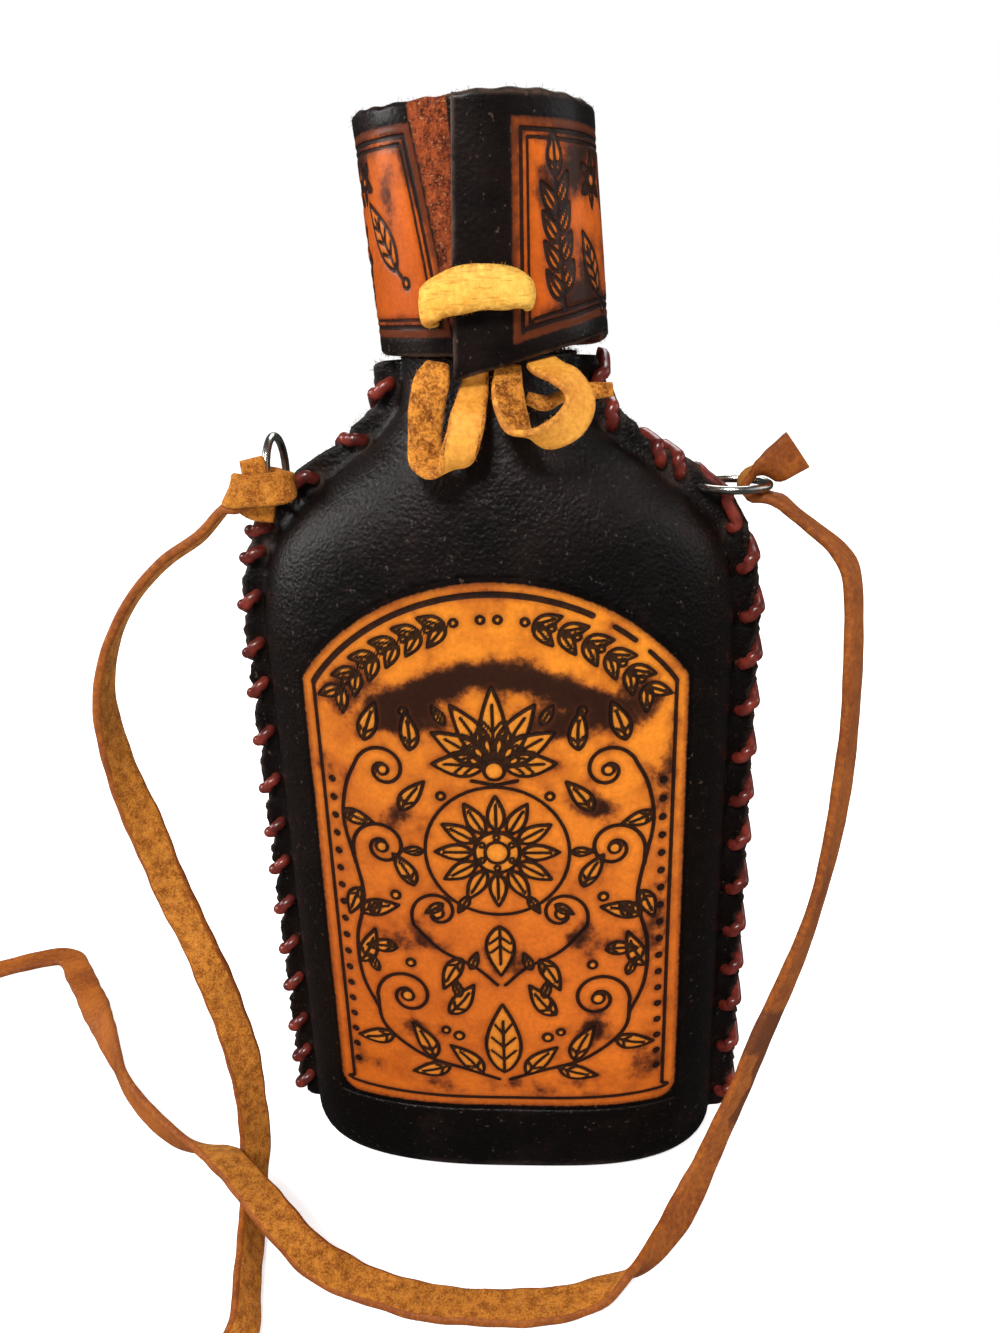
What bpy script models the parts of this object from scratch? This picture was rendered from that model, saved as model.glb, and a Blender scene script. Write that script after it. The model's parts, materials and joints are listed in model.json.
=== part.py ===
"""Leather-wrapped glass flask: bottle, screw cap, laced leather cover, neck collar, rings and shoulder strap.

Units are metres. +Z points up, the front faces -Y and the origin is the middle of the base.
"""

import math

import bmesh
import bpy
from mathutils import Matrix, Vector

NAME = "leather_wrapped_flask"

# Fits and stock
FIT = 0.0003
LEATHER = 0.0023

# Glass bottle
GLASS_WIDTH = 0.0898
GLASS_DEPTH = 0.0378
GLASS_WALL = 0.003
GLASS_FOOT = 0.0045
GLASS_SIDE_CORNER = 0.0045
GLASS_FRONT_CORNER = 0.0018
SHOULDER_START = 0.128
NECK_START = 0.176
GLASS_TOP = 0.204
NECK_RADIUS = 0.0138
FINISH_RADIUS = 0.0122
FINISH_START = 0.1925
THREAD_HEIGHT = 0.0008
THREAD_PITCH = 0.003
THREAD_TURNS = 1.5
BORE_RADIUS = 0.0092
BODY_SQUARENESS = 2.7

# Share of the way from neck to body against the share of the way up the shoulder
WIDTH_SHARE = ((0.0, 1.0), (0.148, 0.973), (0.2375, 0.935), (0.3375, 0.858), (0.435, 0.731),
               (0.56, 0.498), (0.744, 0.159), (0.875, 0.029), (1.0, 0.0))
DEPTH_SHARE = ((0.0, 1.0), (0.35, 1.0), (0.46, 0.95), (0.62, 0.77), (0.77, 0.42), (0.89, 0.12), (1.0, 0.0))

# Cap and its liner
CAP_RADIUS = 0.0148
CAP_WALL = 0.0012
CAP_SKIRT = 0.0105
CAP_RIBS = 36
LINER_THICKNESS = 0.001

# Laced edge of the cover
COVER_TOP = 0.179
FLANGE_WIDTH = 0.0055
FLANGE_TOP = 0.1783
FLANGE_BOTTOM = 0.003
FLANGE_CORNER = 0.0055
SLIT_BOTTOM = 0.0045
STITCH_DEPTH = 0.0032

# Middle height of each stitch as it shows on the front, from the top down
LEFT_STITCHES = (0.1728, 0.1648, 0.1583, 0.1495, 0.1415, 0.1315, 0.1210, 0.1120, 0.1010,
                 0.0895, 0.0785, 0.0690, 0.0586, 0.0477, 0.0373, 0.0256, 0.0165, 0.0085)
RIGHT_STITCHES = (0.1748, 0.1690, 0.1620, 0.1568, 0.1485, 0.1395, 0.1290, 0.1190, 0.1087,
                  0.0980, 0.0877, 0.0773, 0.0662, 0.0550, 0.0449, 0.0349, 0.0232, 0.0096)
STITCH_SLANT = 0.0036
LACE_RADIUS = 0.0012
LACE_LEAD = 0.0013
LACE_EASE = 0.0003

# Collar round the neck, in the order it is wound: under end, left, back, right, over end
COLLAR_RADIUS = 0.0220
COLLAR_THICKNESS = 0.0018
COLLAR_BOTTOM = 0.1794
COLLAR_DIP = 0.0040
COLLAR_TOP = 0.2190
COLLAR_LEAN = 0.07
COLLAR_SHIFT = 0.0005
COLLAR_SKEW = math.radians(11)
UNDER_END = math.radians(18)
OVER_END = math.radians(13)
THONG_WIDTH = 0.0072
THONG_THICKNESS = 0.0015
THONG_ANGLE = math.radians(25)
THONG_HEIGHT = 0.1890
THONG_DROP = 0.0018
BOW_WIDTH = 0.0062

# Rings through the shoulders
RING_RADIUS = 0.0068
RING_WIRE = 0.0008
RING_EDGE_HEIGHT = {-1: 0.1530, 1: 0.1553}
RING_LACE_LEAD = 0.0042
RING_REST = {-1: math.radians(90), 1: 0.0}
RING_SWING = math.radians(35)
RING_DEPTH = 0.0026

# Shoulder strap
STRAP_WIDTH = 0.0076
STRAP_THICKNESS = 0.0018


def clear_scene():
    for thing in list(bpy.data.objects):
        bpy.data.objects.remove(thing)


def material(name, colour, roughness, metallic=0.0, transmission=0.0):
    made = bpy.data.materials.new(name)
    made.use_nodes = True
    shader = made.node_tree.nodes["Principled BSDF"]
    shader.inputs["Base Color"].default_value = (*colour, 1.0)
    shader.inputs["Roughness"].default_value = roughness
    shader.inputs["Metallic"].default_value = metallic
    shader.inputs["Transmission Weight"].default_value = transmission
    return made


def finish(name, bm, collection, surface, origin=(0, 0, 0), smooth=True):
    bmesh.ops.remove_doubles(bm, verts=bm.verts, dist=0.000002)
    bmesh.ops.recalc_face_normals(bm, faces=bm.faces)
    bmesh.ops.translate(bm, verts=bm.verts, vec=-Vector(origin))
    mesh = bpy.data.meshes.new(name)
    bm.to_mesh(mesh)
    bm.free()
    made = bpy.data.objects.new(name, mesh)
    made.location = origin
    if smooth:
        mesh.shade_smooth()
    mesh.materials.append(surface)
    collection.objects.link(made)
    return made


def cut(thing, tools, operation="DIFFERENCE"):
    for tool in tools:
        change = thing.modifiers.new(tool.name, "BOOLEAN")
        change.operation = operation
        change.solver = "EXACT"
        change.object = tool


def read_table(table, share):
    """Smooth reading of (position, value) rows, with level ends."""
    if share <= table[0][0]:
        return table[0][1]
    if share >= table[-1][0]:
        return table[-1][1]
    slopes = [(b[1] - a[1]) / (b[0] - a[0]) for a, b in zip(table, table[1:])]
    tangents = [slopes[0]]
    for before, after in zip(slopes, slopes[1:]):
        both = before * after
        tangents.append(2 * both / (before + after) if both > 0 else 0.0)
    tangents.append(0.0)
    for i, (a, b) in enumerate(zip(table, table[1:])):
        if share <= b[0]:
            span = b[0] - a[0]
            t = (share - a[0]) / span
            return (
                (2 * t**3 - 3 * t**2 + 1) * a[1] + (t**3 - 2 * t**2 + t) * span * tangents[i]
                + (3 * t**2 - 2 * t**3) * b[1] + (t**3 - t**2) * span * tangents[i + 1]
            )
    return table[-1][1]


def shoulder_share(height):
    return (height - SHOULDER_START) / (NECK_START - SHOULDER_START)


def glass_width(height):
    return NECK_RADIUS + (GLASS_WIDTH / 2 - NECK_RADIUS) * read_table(WIDTH_SHARE, shoulder_share(height))


def glass_depth(height):
    return NECK_RADIUS + (GLASS_DEPTH / 2 - NECK_RADIUS) * read_table(DEPTH_SHARE, shoulder_share(height))


def offset(profile, height, distance):
    step = 0.0005
    slope = (profile(height + step) - profile(height - step)) / (2 * step)
    return profile(height) + distance * math.hypot(1.0, slope)


def corner_inset(radius, rise):
    if rise >= radius:
        return 0.0
    return radius - math.sqrt(max(0.0, radius**2 - (radius - rise)**2))


def skin_size(height, distance):
    """Half width and half depth of the glass grown by a distance, before its foot is rounded."""
    return offset(glass_width, height, distance), offset(glass_depth, height, distance)


def ring_of_points(half_width, half_depth, squareness, height, count):
    points = []
    for i in range(count):
        turn = 2 * math.pi * i / count
        c, s = math.cos(turn), math.sin(turn)
        x = half_width * math.copysign(abs(c) ** (2 / squareness), c)
        y = half_depth * math.copysign(abs(s) ** (2 / squareness), s)
        points.append((x, y, height))
    return points


def loft(bm, rings, closed=True):
    rows = [[bm.verts.new(p) for p in ring] for ring in rings]
    count = len(rows[0])
    for low, high in zip(rows, rows[1:]):
        for i in range(count):
            j = (i + 1) % count
            bm.faces.new((low[i], low[j], high[j], high[i]))
    if closed:
        bm.faces.new(rows[0][::-1])
        bm.faces.new(rows[-1])
    return rows


def squareness(height):
    share = min(1.0, max(0.0, shoulder_share(height)))
    return BODY_SQUARENESS + (2.0 - BODY_SQUARENESS) * share


def skin_rings(distance, foot, top, count):
    """Rings of the bottle's shape grown by a distance, from a rounded foot to the top."""
    side, front = GLASS_SIDE_CORNER + distance, GLASS_FRONT_CORNER + distance
    rises = [side * (1 - math.cos(math.radians(a))) for a in (0, 22, 45, 68, 90)]
    middle = [SHOULDER_START * 0.53, SHOULDER_START]
    shoulder = [SHOULDER_START + (NECK_START - SHOULDER_START) * i / 11 for i in range(1, 12)]
    heights = [foot + rise for rise in rises] + middle + [h for h in shoulder if h < top - 0.001] + [top]
    rings = []
    for height in heights:
        half_width, half_depth = skin_size(height, distance)
        half_width -= corner_inset(side, height - foot)
        half_depth -= corner_inset(front, height - foot)
        rings.append(ring_of_points(half_width, half_depth, squareness(height), height, count))
    return rings


def tube_ring(centre, along, first, radius, sides):
    second = along.cross(first).normalized()
    first = second.cross(along).normalized()
    return [
        centre + radius * (math.cos(a) * first + math.sin(a) * second)
        for a in (2 * math.pi * (i + 0.5) / sides for i in range(sides))
    ]


def sweep_tube(bm, points, radius, sides, loop=False):
    points = [Vector(p) for p in points]
    count = len(points)
    rings = []
    first = Vector((0, 0, 1))
    for i, centre in enumerate(points):
        before = points[i - 1] if i or loop else centre
        after = points[(i + 1) % count] if i < count - 1 or loop else centre
        along = (after - before).normalized()
        if i == 0 and abs(along.dot(first)) > 0.9:
            first = Vector((1, 0, 0))
        first = (first - along * along.dot(first)).normalized()
        rings.append(tube_ring(centre, along, first, radius, sides))
    rows = loft(bm, rings, closed=not loop)
    if loop:
        last, start = rows[-1], rows[0]
        turn = min(
            range(sides), key=lambda k: sum((last[i].co - start[(i + k) % sides].co).length for i in range(sides))
        )
        for i in range(sides):
            j = (i + 1) % sides
            bm.faces.new((last[i], last[j], start[(j + turn) % sides], start[(i + turn) % sides]))


def smooth_route(points, spacing):
    """Points at an even spacing on a smooth curve through rows of coordinates."""
    rows = [[float(v) for v in p] for p in points]
    rows = [[2 * a - b for a, b in zip(rows[0], rows[1])], *rows, [2 * a - b for a, b in zip(rows[-1], rows[-2])]]
    fine = []
    for a, b, c, d in zip(rows, rows[1:], rows[2:], rows[3:]):
        for k in range(24):
            t = k / 24
            fine.append([
                0.5 * (2 * q + (r - p) * t + (2 * p - 5 * q + 4 * r - s) * t * t + (3 * q - p - 3 * r + s) * t**3)
                for p, q, r, s in zip(a, b, c, d)
            ])
    fine.append(rows[-2])
    lengths = [0.0]
    for a, b in zip(fine, fine[1:]):
        lengths.append(lengths[-1] + math.dist(a[:3], b[:3]))
    steps = max(2, round(lengths[-1] / spacing))
    route, k = [], 0
    for i in range(steps + 1):
        target = lengths[-1] * i / steps
        while k < len(lengths) - 2 and lengths[k + 1] < target:
            k += 1
        t = (target - lengths[k]) / max(1e-12, lengths[k + 1] - lengths[k])
        route.append([a + (b - a) * t for a, b in zip(fine[k], fine[k + 1])])
    return route


def sweep_band(bm, route, thickness):
    """A flat strap along rows of (x, y, z, width, across x, across y, across z)."""
    rings = []
    for i, row in enumerate(route):
        before, after = route[max(0, i - 1)], route[min(len(route) - 1, i + 1)]
        along = (Vector(after[:3]) - Vector(before[:3])).normalized()
        across = Vector(row[4:7])
        across = (across - along * along.dot(across)).normalized()
        face = along.cross(across)
        centre, w, t = Vector(row[:3]), row[3] / 2, thickness / 2
        rings.append([centre + across * a + face * b for a, b in ((-w, -t), (w, -t), (w, t), (-w, t))])
    loft(bm, rings)


def band_object(name, rows, spacing, thickness, collection, surface, origin=(0, 0, 0)):
    bm = bmesh.new()
    sweep_band(bm, smooth_route(rows, spacing), thickness)
    return finish(name, bm, collection, surface, origin)


def box(name, collection, low, high):
    bm = bmesh.new()
    bmesh.ops.create_cube(bm, size=1.0)
    for v in bm.verts:
        v.co = Vector([a + (b - a) * (c + 0.5) for a, b, c in zip(low, high, v.co)])
    return finish(name, bm, collection, bpy.data.materials["cutter"], smooth=False)


def build_glass(parts, cutters):
    foot = LEATHER + FIT
    count = 32
    rings = skin_rings(0.0, foot, NECK_START, count)
    thread_zone = [
        (NECK_RADIUS, FINISH_START - 0.0008), (FINISH_RADIUS, FINISH_START), (FINISH_RADIUS, GLASS_TOP - 0.0006),
        (FINISH_RADIUS - 0.0006, GLASS_TOP),
    ]
    rings += [ring_of_points(r, r, 2.0, h, count) for r, h in thread_zone]
    bottom = foot + GLASS_FOOT
    hollow = skin_rings(-GLASS_WALL, bottom, NECK_START, count)
    hollow += [ring_of_points(BORE_RADIUS, BORE_RADIUS, 2.0, h, count) for h in (NECK_START + 0.004, GLASS_TOP)]
    bm = bmesh.new()
    outer = [[bm.verts.new(p) for p in ring] for ring in rings]
    inner = [[bm.verts.new(p) for p in ring] for ring in hollow]
    for rows, flip in ((outer, False), (inner, True)):
        for low, high in zip(rows, rows[1:]):
            for i in range(count):
                j = (i + 1) % count
                face = (low[i], low[j], high[j], high[i])
                bm.faces.new(face[::-1] if flip else face)
    for i in range(count):
        j = (i + 1) % count
        bm.faces.new((outer[-1][i], outer[-1][j], inner[-1][j], inner[-1][i]))
    bm.faces.new(outer[0][::-1])
    bm.faces.new(inner[0])
    glass = finish("glass_bottle", bm, parts, material("clear_glass", (0.85, 0.9, 0.88), 0.03, transmission=0.9))
    points = []
    steps = round(THREAD_TURNS * 14)
    for i in range(steps + 1):
        turn = 2 * math.pi * i / 14
        height = FINISH_START + 0.0035 + THREAD_PITCH * i / 14
        points.append((FINISH_RADIUS * math.cos(turn), FINISH_RADIUS * math.sin(turn), height))
    bm = bmesh.new()
    sweep_tube(bm, points, THREAD_HEIGHT, 6)
    thread = finish("thread_ridge", bm, cutters, bpy.data.materials["cutter"])
    cut(glass, [thread], "UNION")


def build_cap(parts):
    top = GLASS_TOP + FIT + LINER_THICKNESS + FIT
    inside = FINISH_RADIUS + THREAD_HEIGHT + FIT
    inner_radius = max(inside, CAP_RADIUS - CAP_WALL)
    low = top - CAP_SKIRT
    count = CAP_RIBS * 2

    def rib_ring(radius, height, depth):
        ring = []
        for i in range(count):
            turn = 2 * math.pi * i / count
            r = radius - (depth if i % 2 else 0.0)
            ring.append((r * math.cos(turn), r * math.sin(turn), height))
        return ring

    outer_radius = inner_radius + CAP_WALL
    rows = [
        rib_ring(inner_radius, top, 0), rib_ring(inner_radius, low, 0), rib_ring(outer_radius, low, 0),
        rib_ring(outer_radius, low + 0.0015, 0), rib_ring(outer_radius, low + 0.002, 0.00035),
        rib_ring(outer_radius, top - 0.001, 0.00035), rib_ring(outer_radius, top - 0.0005, 0),
        rib_ring(outer_radius - 0.0009, top + CAP_WALL, 0),
    ]
    bm = bmesh.new()
    loft(bm, rows)
    aluminium = material("cap_aluminium", (0.75, 0.75, 0.74), 0.35, metallic=1.0)
    finish("screw_cap", bm, parts, aluminium)
    bm = bmesh.new()
    liner_radius = inner_radius - FIT
    loft(bm, [ring_of_points(liner_radius, liner_radius, 2.0, h, 32) for h in (GLASS_TOP + FIT, top - FIT)])
    finish("cap_liner", bm, parts, material("cap_liner_foam", (0.9, 0.9, 0.86), 0.7))


def flange_edge(height):
    """Half width of the laced edge at a height, with its lower corner rounded."""
    width = offset(glass_width, height, FIT + LEATHER + FLANGE_WIDTH)
    return width - corner_inset(FLANGE_CORNER, height - FLANGE_BOTTOM)


class EdgeLine:
    """The laced edge from the top down, read by the distance along it."""

    def __init__(self):
        self.rows = []
        length = 0.0
        steps = 900
        for i in range(steps + 1):
            height = FLANGE_TOP + (FLANGE_BOTTOM - FLANGE_TOP) * i / steps
            point = (flange_edge(height), height)
            if self.rows:
                length += math.dist(point, self.rows[-1][1])
            self.rows.append((length, point))
        self.length = length

    def at_height(self, height):
        i = round((FLANGE_TOP - height) / (FLANGE_TOP - FLANGE_BOTTOM) * 900)
        return self.rows[min(900, max(0, i))][0]

    def point(self, distance):
        low, high = 0, len(self.rows) - 1
        while high - low > 1:
            middle = (low + high) // 2
            if self.rows[middle][0] <= distance:
                low = middle
            else:
                high = middle
        (a, p), (b, q) = self.rows[low], self.rows[high]
        t = (distance - a) / max(1e-9, b - a)
        return Vector((p[0] + (q[0] - p[0]) * t, p[1] + (q[1] - p[1]) * t))

    def inward(self, distance):
        step = 0.0015
        along = (self.point(distance + step) - self.point(distance - step)).normalized()
        return Vector((along.y, -along.x))


def ring_crossing(edge, side):
    """Where the ring's plane crosses the edge, halfway through its swing, as a distance along the edge."""
    x, y, z = ring_hole(edge, side)
    rest = RING_REST[side]
    aim = rest + (-0.5 if side < 0 else 0.5) * RING_SWING
    return min(edge.rows, key=lambda row: abs(math.atan2(row[1][1] - z, row[1][0] - abs(x)) - aim))[0]


def stitch_places(edge, heights, side):
    """Distances along the edge of each hole and each crossing of the edge, from the top down.

    One lace crossing passes through the ring. It is longer than the others, so that the ring can swing past it.
    """
    at_ring = ring_crossing(edge, side)
    places = []
    for height in heights:
        middle = edge.at_height(height)
        places.append([middle + side * STITCH_SLANT / 2, middle - side * STITCH_SLANT / 2, LACE_LEAD])
    through = min((row for row in places if (row[0] - at_ring) * side > 0), key=lambda row: abs(row[0] - at_ring))
    for row in places:
        short = RING_LACE_LEAD + 2 * LACE_RADIUS - abs(row[0] - at_ring)
        if short > 0:
            shift = math.copysign(short, row[0] - at_ring)
            row[0] += shift
            row[1] += shift
    through[1] = at_ring
    through[2] = RING_LACE_LEAD
    return places


def edge_spot(edge, distance, depth, side, y):
    spot = edge.point(distance) + edge.inward(distance) * depth
    return (side * spot.x, y, spot.y)


def lacing_route(edge, places, side, half):
    """Centre line of one whip-stitched lace, wound front to back over the edge."""
    clear = LACE_RADIUS + FIT + LACE_EASE
    lift = half + clear
    order = places if side < 0 else places[::-1]
    around = ((-1.0, 0.0, -lift), (-0.8, -0.75 * clear, -half - 0.75 * clear), (-0.35, -clear, -half * 0.5),
              (0.35, -clear, half * 0.5), (0.8, -0.75 * clear, half + 0.75 * clear), (1.0, 0.0, lift))
    points = []
    for k, (hole, over, reach) in enumerate(order):
        way = math.copysign(1.0, over - hole)
        points += [
            edge_spot(edge, hole, STITCH_DEPTH, side, 0.0),
            edge_spot(edge, hole, STITCH_DEPTH, side, -half),
            edge_spot(edge, hole + way * 0.0003, STITCH_DEPTH - 0.0005, side, -half - clear * 0.75),
            edge_spot(edge, hole + way * 0.0008, STITCH_DEPTH - clear, side, -lift),
        ]
        points += [edge_spot(edge, over + way * reach * share, depth, side, y) for share, depth, y in around]
        if k + 1 < len(order):
            after = order[k + 1][0]
            points += [
                edge_spot(edge, after - way * 0.0008, STITCH_DEPTH - clear, side, lift),
                edge_spot(edge, after - way * 0.0003, STITCH_DEPTH - 0.0005, side, half + clear * 0.75),
                edge_spot(edge, after, STITCH_DEPTH, side, half),
            ]
    return points


def flange_half():
    return LEATHER + FIT / 2


def build_cover(parts, cutters, edge):
    grown = FIT + LEATHER
    bm = bmesh.new()
    loft(bm, skin_rings(grown, 0.0, COVER_TOP, 36))
    dark = material("dark_leather", (0.022, 0.013, 0.010), 0.42)
    cover = finish("leather_cover", bm, parts, dark)

    half = flange_half()
    heights = [FLANGE_BOTTOM + FLANGE_CORNER * (1 - math.cos(math.radians(a))) for a in (0, 22, 45, 68, 90)]
    heights += [SHOULDER_START * 0.4, SHOULDER_START * 0.92]
    heights += [SHOULDER_START + (FLANGE_TOP - SHOULDER_START) * i / 14 for i in range(15)]
    right = [(flange_edge(h), h) for h in heights]
    left = [(-x, h) for x, h in reversed(right)]
    bm = bmesh.new()
    outline = right + left
    front = [bm.verts.new((x, -half, z)) for x, z in outline]
    back = [bm.verts.new((x, half, z)) for x, z in outline]
    bm.faces.new(front)
    bm.faces.new(back[::-1])
    for i in range(len(outline)):
        j = (i + 1) % len(outline)
        bm.faces.new((front[j], front[i], back[i], back[j]))
    plate = finish("flange_plate", bm, cutters, bpy.data.materials["cutter"], smooth=False)

    bm = bmesh.new()
    hollow = skin_rings(FIT, LEATHER, COVER_TOP, 36)
    hollow.append([(x, y, COVER_TOP + 0.01) for x, y, z in hollow[-1]])
    loft(bm, hollow)
    room = finish("bottle_room", bm, cutters, bpy.data.materials["cutter"])
    slit = box("layer_slit", cutters, (-0.07, -FIT / 2, SLIT_BOTTOM), (0.07, FIT / 2, COVER_TOP + 0.01))

    holes = []
    for side, heights in ((-1, LEFT_STITCHES), (1, RIGHT_STITCHES)):
        for hole, over, reach in stitch_places(edge, heights, side):
            start = edge_spot(edge, hole, STITCH_DEPTH, side, -half - 0.001)
            end = edge_spot(edge, hole, STITCH_DEPTH, side, half + 0.001)
            holes.append((start, end, LACE_RADIUS + 1.2 * FIT, 8))
        x, y, z = ring_hole(edge, side)
        sag = RING_RADIUS - math.sqrt(RING_RADIUS**2 - half**2)
        holes.append(((x, -half - 0.001, z), (x, half + 0.001, z), RING_WIRE + sag + FIT, 14))
    bm = bmesh.new()
    for start, end, radius, sides in holes:
        start, end = Vector(start), Vector(end)
        bmesh.ops.create_cone(
            bm, cap_ends=True, segments=sides, radius1=radius, radius2=radius, depth=(end - start).length,
            matrix=Matrix.Translation((start + end) / 2) @ Matrix.Rotation(math.pi / 2, 4, "X"),
        )
    punch = finish("stitch_holes", bm, cutters, bpy.data.materials["cutter"], smooth=False)
    cut(cover, [plate], "UNION")
    cut(cover, [room, slit, punch])


def ring_hole(edge, side):
    return edge_spot(edge, edge.at_height(RING_EDGE_HEIGHT[side]), RING_DEPTH, side, 0.0)


def build_lacing(parts, edge):
    lace = material("lacing_cord", (0.10, 0.022, 0.014), 0.25)
    for name, heights, side in (("left_lacing", LEFT_STITCHES, -1), ("right_lacing", RIGHT_STITCHES, 1)):
        route = lacing_route(edge, stitch_places(edge, heights, side), side, flange_half())
        bm = bmesh.new()
        sweep_tube(bm, route, LACE_RADIUS, 6)
        finish(name, bm, parts, lace)
        points = [Vector(p) for p in route]
        nearest = min(
            (a - b).length for i, a in enumerate(points) for j, b in enumerate(points) if j - i > 12
        )
        print(name, "least gap to itself, mm:", round((nearest - 2 * LACE_RADIUS) * 1000, 2))


def collar_place(wound, height, depth):
    """A point on the collar: wound is the angle from its under end, depth runs from 0 outside to 1 inside."""
    left = UNDER_END + OVER_END + 2 * math.pi - wound
    share = min(1.0, max(0.0, (wound - 0.65) / 2.75))
    ease = share * share * (3 - 2 * share)
    step = COLLAR_THICKNESS + FIT + 0.0001
    radius = COLLAR_RADIUS - step * (1 - ease) - COLLAR_THICKNESS * depth
    up = (height - COLLAR_BOTTOM) / (COLLAR_TOP - COLLAR_BOTTOM)
    theta = UNDER_END - wound + COLLAR_SKEW * up * max(0.0, 1 - left / 3.1) ** 1.4
    lean = COLLAR_SHIFT - COLLAR_LEAN * (height - COLLAR_BOTTOM)
    return Vector((radius * math.sin(theta) + lean, -radius * math.cos(theta), height))


def collar_foot(wound):
    total = UNDER_END + OVER_END + 2 * math.pi
    left = total - wound
    dip = COLLAR_DIP * max(0.0, 1 - left / 0.85) ** 1.3
    rise = 0.0026 * math.exp(-((left - 1.5) / 0.55) ** 2)
    return COLLAR_BOTTOM - dip + rise


def collar_rim(wound):
    left = UNDER_END + OVER_END + 2 * math.pi - wound
    return COLLAR_TOP + 0.0010 * math.exp(-((left - 0.785) / 0.45) ** 2)


def build_collar(parts, cutters):
    total = UNDER_END + OVER_END + 2 * math.pi
    around = 56
    rings = []
    for i in range(around + 1):
        wound = total * i / around
        foot, rim = collar_foot(wound), collar_rim(wound)
        heights = [foot + (rim - foot) * k / 5 for k in range(6)]
        outside = [collar_place(wound, h, 0.0) for h in heights]
        inside = [collar_place(wound, h, 1.0) for h in reversed(heights)]
        rings.append(outside + inside)
    bm = bmesh.new()
    loft(bm, rings)
    collar = finish("neck_collar", bm, parts, material("collar_leather", (0.28, 0.075, 0.02), 0.45))
    holes = []
    for name, side in (("left_thong_hole", -1), ("right_thong_hole", 1)):
        bm = bmesh.new()
        bmesh.ops.create_cube(bm, size=1.0)
        for v in bm.verts:
            v.co = Vector((v.co.x * (THONG_THICKNESS + 0.0011), v.co.y * 0.012, v.co.z * (THONG_WIDTH + 0.0009)))
        middle = thong_spot(side * THONG_ANGLE, COLLAR_RADIUS - 0.002, -THONG_DROP if side < 0 else 0.0)
        turn = Matrix.Rotation(side * THONG_ANGLE, 4, "Z")
        bmesh.ops.transform(bm, matrix=Matrix.Translation(middle) @ turn, verts=bm.verts)
        holes.append(finish(name, bm, cutters, bpy.data.materials["cutter"], smooth=False))
    cut(collar, holes)


def thong_spot(theta, radius, rise=0.0):
    lean = COLLAR_SHIFT - COLLAR_LEAN * (THONG_HEIGHT - COLLAR_BOTTOM)
    return Vector((radius * math.sin(theta) + lean, -radius * math.cos(theta), THONG_HEIGHT + rise))


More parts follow.
